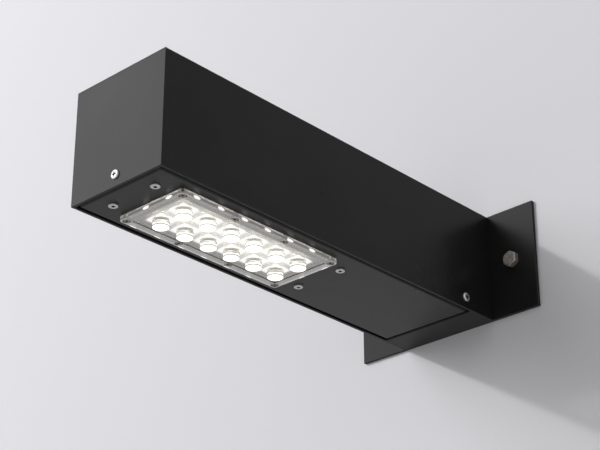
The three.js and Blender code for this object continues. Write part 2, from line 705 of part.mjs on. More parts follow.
const clampStudPlaces = [clampCentre - clampReachX, clampCentre + clampReachX];
const clamp = cut(standingSheet(saddle(), clampRear - clampDepth, clampRear),
  clampStudPlaces.map((x) => post(studRadius + fitGap, x, clampStudY, trayFloor - cutPast,
    trayFloor + clampFootSheet + cutPast)));
place('cable_clamp', clamp, clampPlastic);
clampStudPlaces.forEach((x, index) => {
  place(`clamp_nut_${index + 1}`, studNut, zincPlated, [x, clampStudY, trayFloor + clampFootSheet]);
});

// LED leads: straight from the driver under the heat sink to the LED board's end
const boardRear = moduleY + ledSpanY / 2 + boardMargin;
const ledLeadLevel = boardFace + ledLeadRadius;
function ledLead(x) {
  const from = new THREE.Vector3(x, driverFront, ledLeadLevel);
  const to = new THREE.Vector3(x, boardRear, ledLeadLevel);
  return cable(new THREE.LineCurve3(from, to), ledLeadRadius, 1);
}
place('led_lead_positive', ledLead(ledLeadSpread), redWire);
place('led_lead_negative', ledLead(-ledLeadSpread), blackWire);

// Mains leads: from the terminal block's first two poles to the driver
const leadStart = blockFront + wireHoleDepth - fitGap;
function mainsLead(x) {
  const from = new THREE.Vector3(x, leadStart, wireLevel);
  const to = new THREE.Vector3(x, driverRear, wireLevel);
  return cable(new THREE.LineCurve3(from, to), leadRadius, 1);
}
place('mains_lead_live', mainsLead(poles[0]), brownWire);
place('mains_lead_neutral', mainsLead(poles[1]), blueWire);

// Earth lead: from the last pole round to a lug on the earth stud
const earthX = poles[poleCount - 1];
const earthTurnY = blockFront - leadRoom * earthTurnShare;
const earthEndLevel = trayFloor + leadRadius + fitGap;
const earthPath = new THREE.CatmullRomCurve3([
  [earthX, leadStart, wireLevel],
  [earthX, blockFront, wireLevel],
  [(2 * earthX + earthStudX) / 3, earthTurnY, wireLevel],
  [(earthX + 2 * earthStudX) / 3, earthTurnY, (wireLevel + earthEndLevel) / 2],
  [earthStudX, blockFront, earthEndLevel],
  [earthStudX, earthStudY - lugRadius, earthEndLevel],
].map((place) => new THREE.Vector3(...place)));
const lug = post(lugRadius, earthStudX, earthStudY, trayFloor, trayFloor + lugSheet)
  .subtract(post(studRadius + fitGap, earthStudX, earthStudY, trayFloor - cutPast, trayFloor + cutPast));
const lugTongue = box([earthStudX - leadRadius, earthStudY - lugRadius - leadRadius, trayFloor],
  [earthStudX + leadRadius, earthStudY - studRadius - 2 * fitGap, trayFloor + lugSheet]);
place('earth_lead', join([cable(earthPath, leadRadius, earthLeadSteps), lug, lugTongue]), earthWire);
place('earth_nut', studNut, zincPlated, [earthStudX, earthStudY, trayFloor + lugSheet]);

export default light;
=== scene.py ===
"""A black wall-mounted LED area light, dressed for rendering.

X runs to the right seen from the front, Y into the wall and Z up, from the centre of the wall plate's back.
Camera, stage and lamps are in metres. The light's own sizes are in millimetres, and each of its meshes is
turned into metres as it is finished.
"""
from math import cos, pi, radians, sin

import bmesh
import bpy
from mathutils import Matrix, Vector


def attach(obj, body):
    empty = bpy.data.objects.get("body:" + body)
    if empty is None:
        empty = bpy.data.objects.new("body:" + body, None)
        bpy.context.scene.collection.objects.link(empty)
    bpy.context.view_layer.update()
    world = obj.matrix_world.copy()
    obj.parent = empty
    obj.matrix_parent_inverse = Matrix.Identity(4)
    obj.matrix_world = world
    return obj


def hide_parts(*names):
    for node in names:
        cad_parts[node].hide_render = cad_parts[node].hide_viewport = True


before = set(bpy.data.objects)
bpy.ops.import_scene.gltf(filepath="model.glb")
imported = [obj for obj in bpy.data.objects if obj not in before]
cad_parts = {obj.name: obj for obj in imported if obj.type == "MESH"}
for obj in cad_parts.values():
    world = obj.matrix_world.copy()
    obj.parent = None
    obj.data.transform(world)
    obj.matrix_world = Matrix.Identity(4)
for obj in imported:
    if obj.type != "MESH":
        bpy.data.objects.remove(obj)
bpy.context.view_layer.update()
scene = bpy.context.scene
scene.view_settings.view_transform = "Standard"


# Camera
# It stands below the light's front right corner, about 1.6 m from the wall plate, and looks up at it with a
# long lens. Its place, direction and lens come from lining up the box's edges with the photograph.
camera_place = Vector((0.87076, -1.12835, -0.63914))
camera_look = Vector((-0.61227, 0.65527, 0.44243))
camera_right = Vector((0.73034, 0.68308, -0.00098))
camera_up = camera_right.cross(camera_look).normalized()
camera_data = bpy.data.cameras.new("camera")
camera_data.sensor_width = 36
camera_data.lens = 102.73
camera = bpy.data.objects.new("camera", camera_data)
turn = Matrix((camera_right, camera_up, -camera_look)).transposed()
camera.matrix_world = Matrix.Translation(camera_place) @ turn.to_4x4()
scene.collection.objects.link(camera)
scene.camera = camera


# Wall, floor and lamps
# A pale wall in a slightly glossy paint, which mirrors the dark box beside it, and a matt floor. The wall is
# open behind the wall plate, so that light reaches the plate's back. One broad soft lamp stands up to the
# front left, a weak one lights the views from behind, and the world fills in.
def linked_object(name, data):
    made = bpy.data.objects.new(name, data)
    scene.collection.objects.link(made)
    return made


def stage_material(name, colour, roughness, specular):
    """A plain finish that the camera sees through from behind."""
    material = bpy.data.materials.new(name)
    material.use_nodes = True
    nodes, links = material.node_tree.nodes, material.node_tree.links
    surface = nodes["Principled BSDF"]
    surface.inputs["Base Color"].default_value = (*colour, 1)
    surface.inputs["Roughness"].default_value = roughness
    surface.inputs["Specular IOR Level"].default_value = specular
    geometry = nodes.new("ShaderNodeNewGeometry")
    light_path = nodes.new("ShaderNodeLightPath")
    unseen = nodes.new("ShaderNodeMath")
    unseen.operation = "MULTIPLY"
    clear = nodes.new("ShaderNodeBsdfTransparent")
    choice = nodes.new("ShaderNodeMixShader")
    links.new(geometry.outputs["Backfacing"], unseen.inputs[0])
    links.new(light_path.outputs["Is Camera Ray"], unseen.inputs[1])
    links.new(unseen.outputs[0], choice.inputs[0])
    links.new(surface.outputs[0], choice.inputs[1])
    links.new(clear.outputs[0], choice.inputs[2])
    links.new(choice.outputs[0], nodes["Material Output"].inputs["Surface"])
    return material


def stage_sheet(name, low, high, material, open_middle=None):
    """A flat rectangle, in metres, that faces the front or up, with an opening in its middle where asked."""
    mesh = bpy.data.meshes.new(name)
    bm = bmesh.new()
    bmesh.ops.create_grid(bm, x_segments=1, y_segments=1, size=0.5)
    if open_middle:
        bmesh.ops.inset_individual(bm, faces=bm.faces[:], thickness=0.2)
        middle = min(bm.faces, key=lambda face: face.calc_center_median().length)
        for corner in middle.verts:
            corner.co.x = open_middle[0] / (high[0] - low[0]) * (1 if corner.co.x > 0 else -1) / 2
            corner.co.y = open_middle[1] / (high[1] - low[1]) * (1 if corner.co.y > 0 else -1) / 2
        bmesh.ops.delete(bm, geom=[middle], context="FACES")
    bmesh.ops.scale(bm, vec=(high[0] - low[0], high[1] - low[1], 1), verts=bm.verts)
    bmesh.ops.translate(bm, vec=((low[0] + high[0]) / 2, (low[1] + high[1]) / 2, 0), verts=bm.verts)
    bm.to_mesh(mesh)
    bm.free()
    mesh.materials.append(material)
    return linked_object(name, mesh)


wall_gap, floor_level, plate_opening = 0.0004, -2, (0.193, 0.095)
satin_paint = stage_material("satin_paint", (0.783, 0.78, 0.801), 0.1, 0.55)
wall = stage_sheet("wall", (-3, -2), (3, 2), satin_paint, plate_opening)
wall.data.transform(Matrix.Translation((0, wall_gap, 0)) @ Matrix.Rotation(radians(90), 4, "X"))
matt_floor = stage_material("pale_floor", (0.705, 0.7, 0.69), 0.9, 0.1)
floor = stage_sheet("floor", (-3, -4), (3, 0), matt_floor)
floor.data.transform(Matrix.Translation((0, 0, floor_level)))


def area_lamp(name, place, size, power, colour=(1, 1, 1)):
    """A round soft lamp at a place, turned towards the light."""
    data = bpy.data.lights.new(name, "AREA")
    data.shape = "DISK"
    data.size = size
    data.energy = power
    data.color = colour
    lamp = linked_object(name, data)
    lamp.location = place
    lamp.rotation_euler = Vector(place).to_track_quat("Z", "Y").to_euler()


area_lamp("broad_lamp", (-5.17, -6.38, 3.73), 7.1, 341, (0.985, 0.966, 1.0))
area_lamp("back_lamp", (0.6, 2.2, 0.8), 1.2, 30)

world = bpy.data.worlds.new("studio")
world.use_nodes = True
scene.world = world
sky_nodes, sky_links = world.node_tree.nodes, world.node_tree.links
fill = sky_nodes["Background"]
fill.inputs["Color"].default_value = (1, 1, 1, 1)
fill.inputs["Strength"].default_value = 0.4
backdrop = sky_nodes.new("ShaderNodeBackground")
backdrop.inputs["Color"].default_value = (0.71, 0.71, 0.715, 1)
backdrop.inputs["Strength"].default_value = 1
sky_path = sky_nodes.new("ShaderNodeLightPath")
sky_mix = sky_nodes.new("ShaderNodeMixShader")
seen = sky_path.outputs["Is Camera Ray"]
for also in ("Is Glossy Ray", "Is Transmission Ray"):
    either = sky_nodes.new("ShaderNodeMath")
    either.operation = "MAXIMUM"
    sky_links.new(seen, either.inputs[0])
    sky_links.new(sky_path.outputs[also], either.inputs[1])
    seen = either.outputs[0]
sky_links.new(seen, sky_mix.inputs[0])
sky_links.new(fill.outputs[0], sky_mix.inputs[1])
sky_links.new(backdrop.outputs[0], sky_mix.inputs[2])
sky_links.new(sky_mix.outputs[0], sky_nodes["World Output"].inputs["Surface"])


# Housing shell
# Top and sides are one folded steel sheet, 2.5 mm thick and open underneath, powder coated satin black.
# The coat has a fine orange peel, a few specks of dust and slightly thinner, paler edges. The pale edges are
# those of a box that runs on past the wall, so that none shows where the shell meets the wall plate.
MM = 0.001
box_side, sheet, fold_radius, cut_edge = 50.5, 2.5, 1.5, 0.3
box_front, box_end, plate_front, past_wall = -398, -395.5, -3, 40


def new_group(name, inputs, outputs):
    """A shader node group with its sockets, given as (name, kind, value), and its input and output nodes."""
    group = bpy.data.node_groups.new(name, "ShaderNodeTree")
    for socket_name, kind, value in inputs:
        socket = group.interface.new_socket(socket_name, in_out="INPUT", socket_type=kind)
        if value is not None:
            socket.default_value = value
    for socket_name, kind in outputs:
        group.interface.new_socket(socket_name, in_out="OUTPUT", socket_type=kind)
    return group, group.nodes.new("NodeGroupInput"), group.nodes.new("NodeGroupOutput")


def added(tree, kind, settings=(), values=()):
    """A new node with its settings, and values or links for its inputs."""
    node = tree.nodes.new(kind)
    for key, value in dict(settings).items():
        setattr(node, key, value)
    for key, value in dict(values).items():
        if isinstance(value, bpy.types.NodeSocket):
            tree.links.new(value, node.inputs[key])
        else:
            node.inputs[key].default_value = value
    return node


def calculated(tree, operation, *values):
    """The result of one step of arithmetic on numbers or links."""
    return added(tree, "ShaderNodeMath", {"operation": operation}, dict(enumerate(values))).outputs[0]


def faded(tree, value, start, end, at_start, at_end, curve="LINEAR"):
    """Goes from one strength to another while a value goes from start to end."""
    return added(tree, "ShaderNodeMapRange", {"interpolation_type": curve}, {
        "Value": value, "From Min": start, "From Max": end, "To Min": at_start, "To Max": at_end}).outputs[0]


def blended(tree, amount, first, second):
    """The first colour where the amount is 0, and the second where it is 1."""
    return added(tree, "ShaderNodeMix", {"data_type": "RGBA"}, {
        "Factor": amount, "A": first, "B": second}).outputs["Result"]


def powder_grain_group():
    """Height, tone and specks of dust of a powder coat, from coordinates in metres."""
    group, given, result = new_group("powder_grain", [
        ("Coordinates", "NodeSocketVector", None),
        ("Peel per metre", "NodeSocketFloat", 560.0),
    ], [("Height", "NodeSocketFloat"), ("Tone", "NodeSocketFloat"), ("Specks", "NodeSocketFloat")])
    peel = added(group, "ShaderNodeTexNoise", {"noise_dimensions": "3D"}, {
        "Vector": given.outputs["Coordinates"], "Scale": given.outputs["Peel per metre"],
        "Detail": 3.0, "Roughness": 0.55})
    cloud = added(group, "ShaderNodeTexNoise", (), {
        "Vector": given.outputs["Coordinates"], "Scale": 14.0, "Detail": 4.0, "Roughness": 0.5})
    dust = added(group, "ShaderNodeTexVoronoi", {"feature": "F1"}, {
        "Vector": given.outputs["Coordinates"], "Scale": 160.0, "Randomness": 1.0})
    speck = faded(group, dust.outputs["Distance"], 0.03, 0.06, 1.0, 0.0, "SMOOTHSTEP")
    rare = calculated(group, "GREATER_THAN", dust.outputs["Color"], 0.82)
    group.links.new(peel.outputs["Fac"], result.inputs["Height"])
    group.links.new(cloud.outputs["Fac"], result.inputs["Tone"])
    group.links.new(calculated(group, "MULTIPLY", speck, rare), result.inputs["Specks"])
    return group


def box_edge_group():
    """1 along the edges of a box, falling to 0 a width away, broken up by a fine noise."""
    group, given, result = new_group("box_edge", [
        ("Coordinates", "NodeSocketVector", None),
        ("Low corner", "NodeSocketVector", (0.0, 0.0, 0.0)),
        ("High corner", "NodeSocketVector", (1.0, 1.0, 1.0)),
        ("Width", "NodeSocketFloat", 0.002),
    ], [("Edge", "NodeSocketFloat")])
    above = added(group, "ShaderNodeVectorMath", {"operation": "SUBTRACT"}, {
        0: given.outputs["Coordinates"], 1: given.outputs["Low corner"]})
    below = added(group, "ShaderNodeVectorMath", {"operation": "SUBTRACT"}, {
        0: given.outputs["High corner"], 1: given.outputs["Coordinates"]})
    nearest = added(group, "ShaderNodeVectorMath", {"operation": "MINIMUM"}, {
        0: above.outputs[0], 1: below.outputs[0]})
    away = added(group, "ShaderNodeVectorMath", {"operation": "ABSOLUTE"}, {0: nearest.outputs[0]})
    x, y, z = added(group, "ShaderNodeSeparateXYZ", (), {0: away.outputs[0]}).outputs
    nearer, further = calculated(group, "MINIMUM", x, y), calculated(group, "MAXIMUM", x, y)
    second_nearest = calculated(group, "MAXIMUM", nearer, calculated(group, "MINIMUM", further, z))
    ragged = added(group, "ShaderNodeTexNoise", (), {
        "Vector": given.outputs["Coordinates"], "Scale": 260.0, "Detail": 4.0, "Roughness": 0.6})
    spread = calculated(group, "MULTIPLY", ragged.outputs["Fac"], given.outputs["Width"])
    edge = faded(group, second_nearest, 0.0, spread, 1.0, 0.0, "SMOOTHSTEP")
    group.links.new(edge, result.inputs["Edge"])
    return group


powder_grain = powder_grain_group()
box_edge = box_edge_group()


def new_material(name):
    """A material, its node tree, its surface shader, and coordinates that stay with the piece."""
    material = bpy.data.materials.new(name)
    material.use_nodes = True
    tree = material.node_tree
    coordinates = tree.nodes.new("ShaderNodeTexCoord").outputs["Object"]
    return material, tree, tree.nodes["Principled BSDF"], coordinates


def ramp(tree, factor, *stops):
    """A colour ramp through (position, colour) stops, given in rising order."""
    made = added(tree, "ShaderNodeValToRGB", (), {"Fac": factor})
    elements = made.color_ramp.elements
    for element, (position, colour) in ((elements[-1], stops[-1]), (elements[0], stops[0])):
        element.position = position
        element.color = (*colour, 1)
    for position, colour in stops[1:-1]:
        elements.new(position).color = (*colour, 1)
    return made.outputs["Color"]


def bump(tree, height, strength, distance):
    """A normal from a height, which is worth the distance in metres at strength 1."""
    return added(tree, "ShaderNodeBump", (), {
        "Height": height, "Strength": strength, "Distance": distance}).outputs["Normal"]


def powder_coat(name, low, high, specular=0.178):
    """Satin black powder coat on a piece whose sheet-metal edges are those of the box from low to high."""
    material, tree, surface, coordinates = new_material(name)
    grain = added(tree, "ShaderNodeGroup", {"node_tree": powder_grain}, {"Coordinates": coordinates})
    edge = added(tree, "ShaderNodeGroup", {"node_tree": box_edge}, {
        "Coordinates": coordinates, "Low corner": Vector(low) * MM, "High corner": Vector(high) * MM,
        "Width": 0.0016})
    black = ramp(tree, grain.outputs["Tone"], (0.3, (0.0114, 0.0112, 0.011)), (0.7, (0.0161, 0.0158, 0.0155)))
    dusty = blended(tree, grain.outputs["Specks"], black, (0.05, 0.049, 0.047, 1))
    worn = blended(tree, edge.outputs["Edge"], dusty, (0.031, 0.0305, 0.03, 1))
    tree.links.new(worn, surface.inputs["Base Color"])
    tree.links.new(faded(tree, grain.outputs["Tone"], 0.3, 0.7, 0.27, 0.33), surface.inputs["Roughness"])
    surface.inputs["Specular IOR Level"].default_value = specular
    tree.links.new(bump(tree, grain.outputs["Height"], 0.35, 0.0002), surface.inputs["Normal"])
    return material


def cube(bm, low, high):
    """A box between two corners, in millimetres."""
    made = bmesh.ops.create_cube(bm, size=1)["verts"]
    low, high = Vector(low), Vector(high)
    bmesh.ops.scale(bm, vec=high - low, verts=made)
    bmesh.ops.translate(bm, vec=(low + high) / 2, verts=made)


def edges_at(bm, test):
    """The edges whose both ends pass a test."""
    return [edge for edge in bm.edges if all(test(end.co) for end in edge.verts)]


def rounded(bm, edges, radius, segments):
    """Rounds some edges of a mesh."""
    bmesh.ops.bevel(bm, geom=edges, offset=radius, offset_type="OFFSET", segments=segments, profile=0.5,
                    affect="EDGES", clamp_overlap=True, material=-1)


def near(value, target):
    """True within a hundredth of a millimetre."""
    return abs(value - target) < 0.01


def piece(name, bm, material, body, slot, *nodes):
    """Finishes a mesh made in millimetres as a piece that rides on a body and stands for the CAD nodes."""
    bmesh.ops.recalc_face_normals(bm, faces=bm.faces)
    bmesh.ops.scale(bm, vec=(MM, MM, MM), verts=bm.verts)
    mesh = bpy.data.meshes.new(name)
    bm.to_mesh(mesh)
    bm.free()
    mesh.shade_smooth()
    mesh.set_sharp_from_angle(angle=radians(32))
    mesh.materials.append(material)
    made = linked_object(name, mesh)
    even = made.modifiers.new("even_shading", "WEIGHTED_NORMAL")
    even.keep_sharp = True
    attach(made, body)
    if nodes:
        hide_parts(*nodes)


bm = bmesh.new()
cube(bm, (-box_side, box_end, -box_side), (box_side, plate_front, box_side))
bmesh.ops.delete(bm, geom=[face for face in bm.faces if face.normal.z < -0.5 or abs(face.normal.y) > 0.5],
                 context="FACES")
rounded(bm, edges_at(bm, lambda co: near(co.z, box_side) and near(abs(co.x), box_side)), fold_radius, 6)
bmesh.ops.solidify(bm, geom=bm.faces[:], thickness=sheet)
rounded(bm, edges_at(bm, lambda co: near(co.z, -box_side)), cut_edge, 3)
shell_coat = powder_coat("shell_coat", (-box_side, box_front, -box_side), (box_side, past_wall, box_side))
piece("folded_shell", bm, shell_coat, "housing", "powder_coat", "housing_shell")


# End plate
# A square of the same steel sheet that closes the box. It is welded over the shell's end and ground flush, so
# that no seam shows.
ground_edge = 0.8
bm = bmesh.new()
cube(bm, (-box_side, box_front, -box_side), (box_side, box_end, box_side))
rounded(bm, edges_at(bm, lambda co: near(co.z, box_side) and near(abs(co.x), box_side)), fold_radius, 6)
rounded(bm, edges_at(bm, lambda co: near(co.y, box_front)), ground_edge, 4)
end_coat = powder_coat("end_coat", (-box_side, box_front, -box_side), (box_side, past_wall, box_side))
piece("welded_end", bm, end_coat, "housing", "powder_coat", "end_plate")


# Rear panel
# A short strip of steel sheet, welded between the sides next to the wall plate. It closes the underside
# there, behind the gap that the tray swings in.
wall_inner = box_side - sheet
panel_front, panel_top, panel_bend = -31.6, -48.5, 1.2
bm = bmesh.new()
cube(bm, (-wall_inner, panel_front, -box_side), (wall_inner, plate_front, panel_top))
rounded(bm, edges_at(bm, lambda co: near(co.y, panel_front) and near(co.z, -box_side)), panel_bend, 5)
rear_coat = powder_coat("rear_coat", (-wall_inner, panel_front, -box_side),
                        (wall_inner, past_wall, panel_top))
piece("rear_strip", bm, rear_coat, "housing", "powder_coat", "rear_panel")


# Wall plate
# A laser-cut 3 mm steel plate, twice as wide as the box and welded to its back. It has a bolt hole in each
# flange and a hole for the cable above its middle.
plate_side = 99.5


def cad_copy(node, weld=0.02):
    """A CAD node's mesh as a bmesh in millimetres, merged, with its flat faces joined up again."""
    bm = bmesh.new()
    bm.from_mesh(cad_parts[node].data)
    bmesh.ops.scale(bm, vec=(1 / MM,) * 3, verts=bm.verts)
    bmesh.ops.remove_doubles(bm, verts=bm.verts, dist=weld)
    bmesh.ops.dissolve_limit(bm, angle_limit=radians(1.5), verts=bm.verts, edges=bm.edges)
    return bm


def sharp_edges(bm, angle=35, test=None):
    """The edges whose faces meet at more than an angle, and whose ends pass the test if there is one."""
    found = [edge for edge in bm.edges
             if len(edge.link_faces) == 2 and edge.calc_face_angle(0) > radians(angle)]
    return [edge for edge in found if test is None or all(test(end.co) for end in edge.verts)]


bm = cad_copy("wall_plate")
rounded(bm, sharp_edges(bm, 60), cut_edge, 3)
plate_coat = powder_coat("plate_coat", (-plate_side, plate_front, -box_side), (plate_side, 0, box_side), 0.15)
piece("bolted_plate", bm, plate_coat, "housing", "powder_coat", "wall_plate")


# Wall bolts
# Two M8 hex bolts with chamfered heads, hot-dip galvanised and gone dull. One through each flange holds the
# plate to the wall.
def solid_of(bm):
    """A scratch object from a bmesh, which it frees."""
    mesh = bpy.data.meshes.new("scratch")
    bmesh.ops.recalc_face_normals(bm, faces=bm.faces)
    bm.to_mesh(mesh)
    bm.free()
    return linked_object("scratch", mesh)


def combined(base, operation, *tools):
    """Joins, cuts or intersects bmeshes and gives the result as a new bmesh."""
    body = solid_of(base)
    scratch = [solid_of(tool) for tool in tools]
    for tool in scratch:
        change = body.modifiers.new("change", "BOOLEAN")
        change.operation = operation
        change.object = tool
        change.solver = "EXACT"
    made = body.evaluated_get(bpy.context.evaluated_depsgraph_get())
    result = bmesh.new()
    result.from_mesh(made.data)
    for used in [body, *scratch]:
        bpy.data.objects.remove(used)
    bmesh.ops.remove_doubles(result, verts=result.verts, dist=0.0005)
    return result


def turned(profile, sides=48):
    """A solid of revolution about Z from (radius, height) points. Points on the axis close it."""
    bm = bmesh.new()
    points = [bm.verts.new((radius, 0, height)) for radius, height in profile]
    line = [bm.edges.new(pair) for pair in zip(points, points[1:])]
    bmesh.ops.spin(bm, geom=points + line, cent=(0, 0, 0), axis=(0, 0, 1), angle=2 * pi, steps=sides,
                   use_merge=True)
    bmesh.ops.remove_doubles(bm, verts=bm.verts, dist=0.0005)
    bmesh.ops.recalc_face_normals(bm, faces=bm.faces)
    return bm


def prism(sides, across, low, high):
    """An upright prism, such as a hexagon's, with its width across flats and one corner towards +Y."""
    bm = bmesh.new()
    made = bmesh.ops.create_cone(bm, cap_ends=True, segments=sides, radius1=across / 2 / cos(pi / sides),
                                 radius2=across / 2 / cos(pi / sides), depth=high - low)["verts"]
    bmesh.ops.translate(bm, vec=(0, 0, (low + high) / 2), verts=made)
    return bm


def marked_turning(bm, in_recess=None):
    """Keeps each point's place across the turning axis in a UV map, so that tool marks can follow it.

    Faces whose middle passes the recess test are marked too, for a painted shade that darkens their colour.
    """
    layer = bm.loops.layers.uv.new("Turning")
    recess = bm.loops.layers.float.new("Recess")
    for face in bm.faces:
        inside = 1.0 if in_recess and in_recess(face.calc_center_median()) else 0.0
        for loop in face.loops:
            loop[layer].uv = loop.vert.co.xy * MM
            loop[recess] = inside
    return bm


def placed(bm, place, facing):
    """Moves a mesh made about Z to its place, with its Z turned to face along a direction."""
    turn = Vector(facing).to_track_quat("Z", "Y").to_matrix().to_4x4()
    bmesh.ops.transform(bm, matrix=Matrix.Translation(place) @ turn, verts=bm.verts)
    return bm


def tool_marks_group():
    """Fine rings left by turning or stamping round the piece's axis, and patches of uneven plating."""
    group, given, result = new_group("tool_marks", [
        ("Turning", "NodeSocketVector", None),
        ("Coordinates", "NodeSocketVector", None),
        ("Rings per metre", "NodeSocketFloat", 5200.0),
    ], [("Height", "NodeSocketFloat"), ("Patch", "NodeSocketFloat")])
    flat = added(group, "ShaderNodeVectorMath", {"operation": "MULTIPLY"}, {
        0: given.outputs["Turning"], 1: (1.0, 1.0, 0.0)})
    radius = added(group, "ShaderNodeVectorMath", {"operation": "LENGTH"}, {0: flat.outputs[0]})
    turns = calculated(group, "MULTIPLY", radius.outputs["Value"], given.outputs["Rings per metre"])
    patch = added(group, "ShaderNodeTexNoise", (), {
        "Vector": given.outputs["Coordinates"], "Scale": 420.0, "Detail": 5.0, "Roughness": 0.6})
    group.links.new(calculated(group, "SINE", turns), result.inputs["Height"])
    group.links.new(patch.outputs["Fac"], result.inputs["Patch"])
    return group


tool_marks = tool_marks_group()


def plated_steel(name, dark, light, roughness, ring_strength):
    """Zinc on steel, mottled between two tones, with turning marks and painted shade in its recesses."""
    material, tree, surface, coordinates = new_material(name)
    turning = added(tree, "ShaderNodeUVMap", {"uv_map": "Turning"}).outputs["UV"]
    marks = added(tree, "ShaderNodeGroup", {"node_tree": tool_marks}, {
        "Turning": turning, "Coordinates": coordinates})
    plating = ramp(tree, marks.outputs["Patch"], (0.32, dark), (0.66, light))
    recess = added(tree, "ShaderNodeAttribute", {"attribute_name": "Recess"}).outputs["Fac"]
    # The faces marked as recesses take a dark colour: painted shade.
    tree.links.new(blended(tree, recess, plating, (0.1, 0.085, 0.075, 1)), surface.inputs["Base Color"])
    uneven = faded(tree, marks.outputs["Patch"], 0.3, 0.7, roughness + 0.08, roughness - 0.04)
    tree.links.new(uneven, surface.inputs["Roughness"])
    surface.inputs["Metallic"].default_value = 1
    tree.links.new(bump(tree, marks.outputs["Height"], ring_strength, 0.00001), surface.inputs["Normal"])
    return material


dull_steel = plated_steel("galvanised_steel", (0.28, 0.255, 0.235), (0.48, 0.445, 0.415), 0.62, 0.1)
bolt_across, bolt_height, bolt_radius, bolt_shank, bolt_tip = 13, 5.3, 4, 2.7, 0.4
bolt_from_middle = 75


def hex_bolt():
    """Head and shank along Z, with the underside of the head at 0."""
    corner = bolt_across / 2 / cos(pi / 6)
    crown = turned([(0, -0.01), (corner - 0.5, -0.01), (corner + 0.1, 0.45),
                    (corner + 0.1, bolt_height - 1.1), (corner - 1.5, bolt_height), (0, bolt_height)])
    head = combined(prism(6, bolt_across, 0, bolt_height), "INTERSECT", crown)
    rounded(head, sharp_edges(head, 25), 0.12, 2)
    middle = bolt_height / 2
    shaft = turned([(0, -bolt_shank), (bolt_radius - bolt_tip, -bolt_shank),
                    (bolt_radius, -bolt_shank + bolt_tip), (bolt_radius, middle), (0, middle)])
    return combined(head, "UNION", shaft)


for side, sign in (("left", -1), ("right", 1)):
    bm = placed(marked_turning(hex_bolt()), (sign * bolt_from_middle, plate_front, 0), (0, -1, 0))
    piece(f"hex_bolt_{side}", bm, dull_steel, "housing", "weathered_steel", f"wall_bolt_{side}")


# Cable grommet
# A black rubber collar pressed into the plate's cable hole from the front, with soft edges and a fine grain.
def moulded_skin(name, dark, light, roughness, per_metre, height, depth):
    """Matt or satin moulded plastic or rubber: a fine grain with slow changes of tone."""
    material, tree, surface, coordinates = new_material(name)
    grain = added(tree, "ShaderNodeGroup", {"node_tree": powder_grain}, {
        "Coordinates": coordinates, "Peel per metre": per_metre})
    tree.links.new(ramp(tree, grain.outputs["Tone"], (0.3, dark), (0.7, light)), surface.inputs["Base Color"])
    sheen = faded(tree, grain.outputs["Tone"], 0.3, 0.7, roughness - 0.05, roughness + 0.05)
    tree.links.new(sheen, surface.inputs["Roughness"])
    tree.links.new(bump(tree, grain.outputs["Height"], height, depth), surface.inputs["Normal"])
    return material


rubber = moulded_skin(
    "grommet_rubber", (0.012, 0.012, 0.013), (0.022, 0.022, 0.023), 0.75, 1500.0, 0.3, 0.0001)
cable_level, bore, neck, collar, grommet_length = 20, 6, 9.7, 12.5, 5
plate_thick = -plate_front
bm = turned([(bore, 0), (neck, 0), (neck, plate_thick), (collar, plate_thick), (collar, grommet_length),
             (bore, grommet_length), (bore, 0)], 64)
rounded(bm, [edge for edge in sharp_edges(bm) if edge.verts[0].co.z > 1], 0.5, 4)
bm = placed(bm, (0, 0, cable_level), (0, -1, 0))
piece("rubber_grommet", bm, rubber, "housing", "black_rubber", "cable_grommet")


# Side screws and end screw
# Satin zinc-plated M4 screws with low rounded heads and a cross recess. The side ones are the tray's pivots
# and the end one locks it. Turned spacers keep the tray's gap, and press nuts take the side screws.
bright_zinc = plated_steel("bright_zinc", (0.5, 0.51, 0.53), (0.7, 0.71, 0.72), 0.24, 0.12)
satin_zinc = plated_steel("satin_zinc", (0.6, 0.575, 0.55), (0.76, 0.735, 0.71), 0.46, 0.12)
head_radius, head_height, screw_radius, screw_tip = 4, 1.56, 2, 0.4
cross_length, cross_width, cross_depth = 4.4, 1.3, 1.1
screw_level, pivot_y, side_shank, end_shank = -40.5, -40.5, 10.5, 9.7
screw_hole, spacer_radius, side_spacer, end_spacer = 2.3, 4, 1.7, 1
press_radius, press_depth, rim_inner = 3.75, 3, 44
lock_across, lock_height, lock_rear = 7, 3.2, -388.3


def head_profile(radius, height, soft):
    """The outline of a flat-topped round head with an upright wall, as (radius, height) points."""
    arc = [(radius - soft + soft * cos(turn), height - 0.06 - soft + soft * sin(turn))
           for turn in (0, pi / 6, pi / 3, pi / 2)]
    return [(0, 0), (radius - 0.15, 0), (radius, 0.15), *arc, (0, height)]


def box_tool(low, high):
    """A box in a bmesh of its own, to cut with."""
    tool = bmesh.new()
    cube(tool, low, high)
    return tool


def cross_screw(shank):
    """Head and shank along Z, with the underside of the head at 0 and a cross cut into its top."""
    half, thin = cross_length / 2, cross_width / 2
    bottom, above = head_height - cross_depth, head_height + 1
    head = combined(turned(head_profile(head_radius, head_height, 1)), "DIFFERENCE",
                    box_tool((-half, -thin, bottom), (half, thin, above)),
                    box_tool((-thin, -half, bottom), (thin, half, above)))
    shaft = turned([(0, -shank), (screw_radius - screw_tip, -shank), (screw_radius, -shank + screw_tip),
                    (screw_radius, 0.3), (0, 0.3)], 32)
    return marked_turning(combined(head, "UNION", shaft), lambda middle: middle.z > 0.1 and (
        max(abs(middle.x) - half, abs(middle.y) - thin) < 0.01
        or max(abs(middle.x) - thin, abs(middle.y) - half) < 0.01))


def spacer(outer, length):
    """A turned ring with a hole for a side or end screw."""
    bm = turned([(screw_hole, 0), (outer, 0), (outer, length), (screw_hole, length), (screw_hole, 0)])
    rounded(bm, sharp_edges(bm, 50), 0.2, 2)
    return marked_turning(bm)


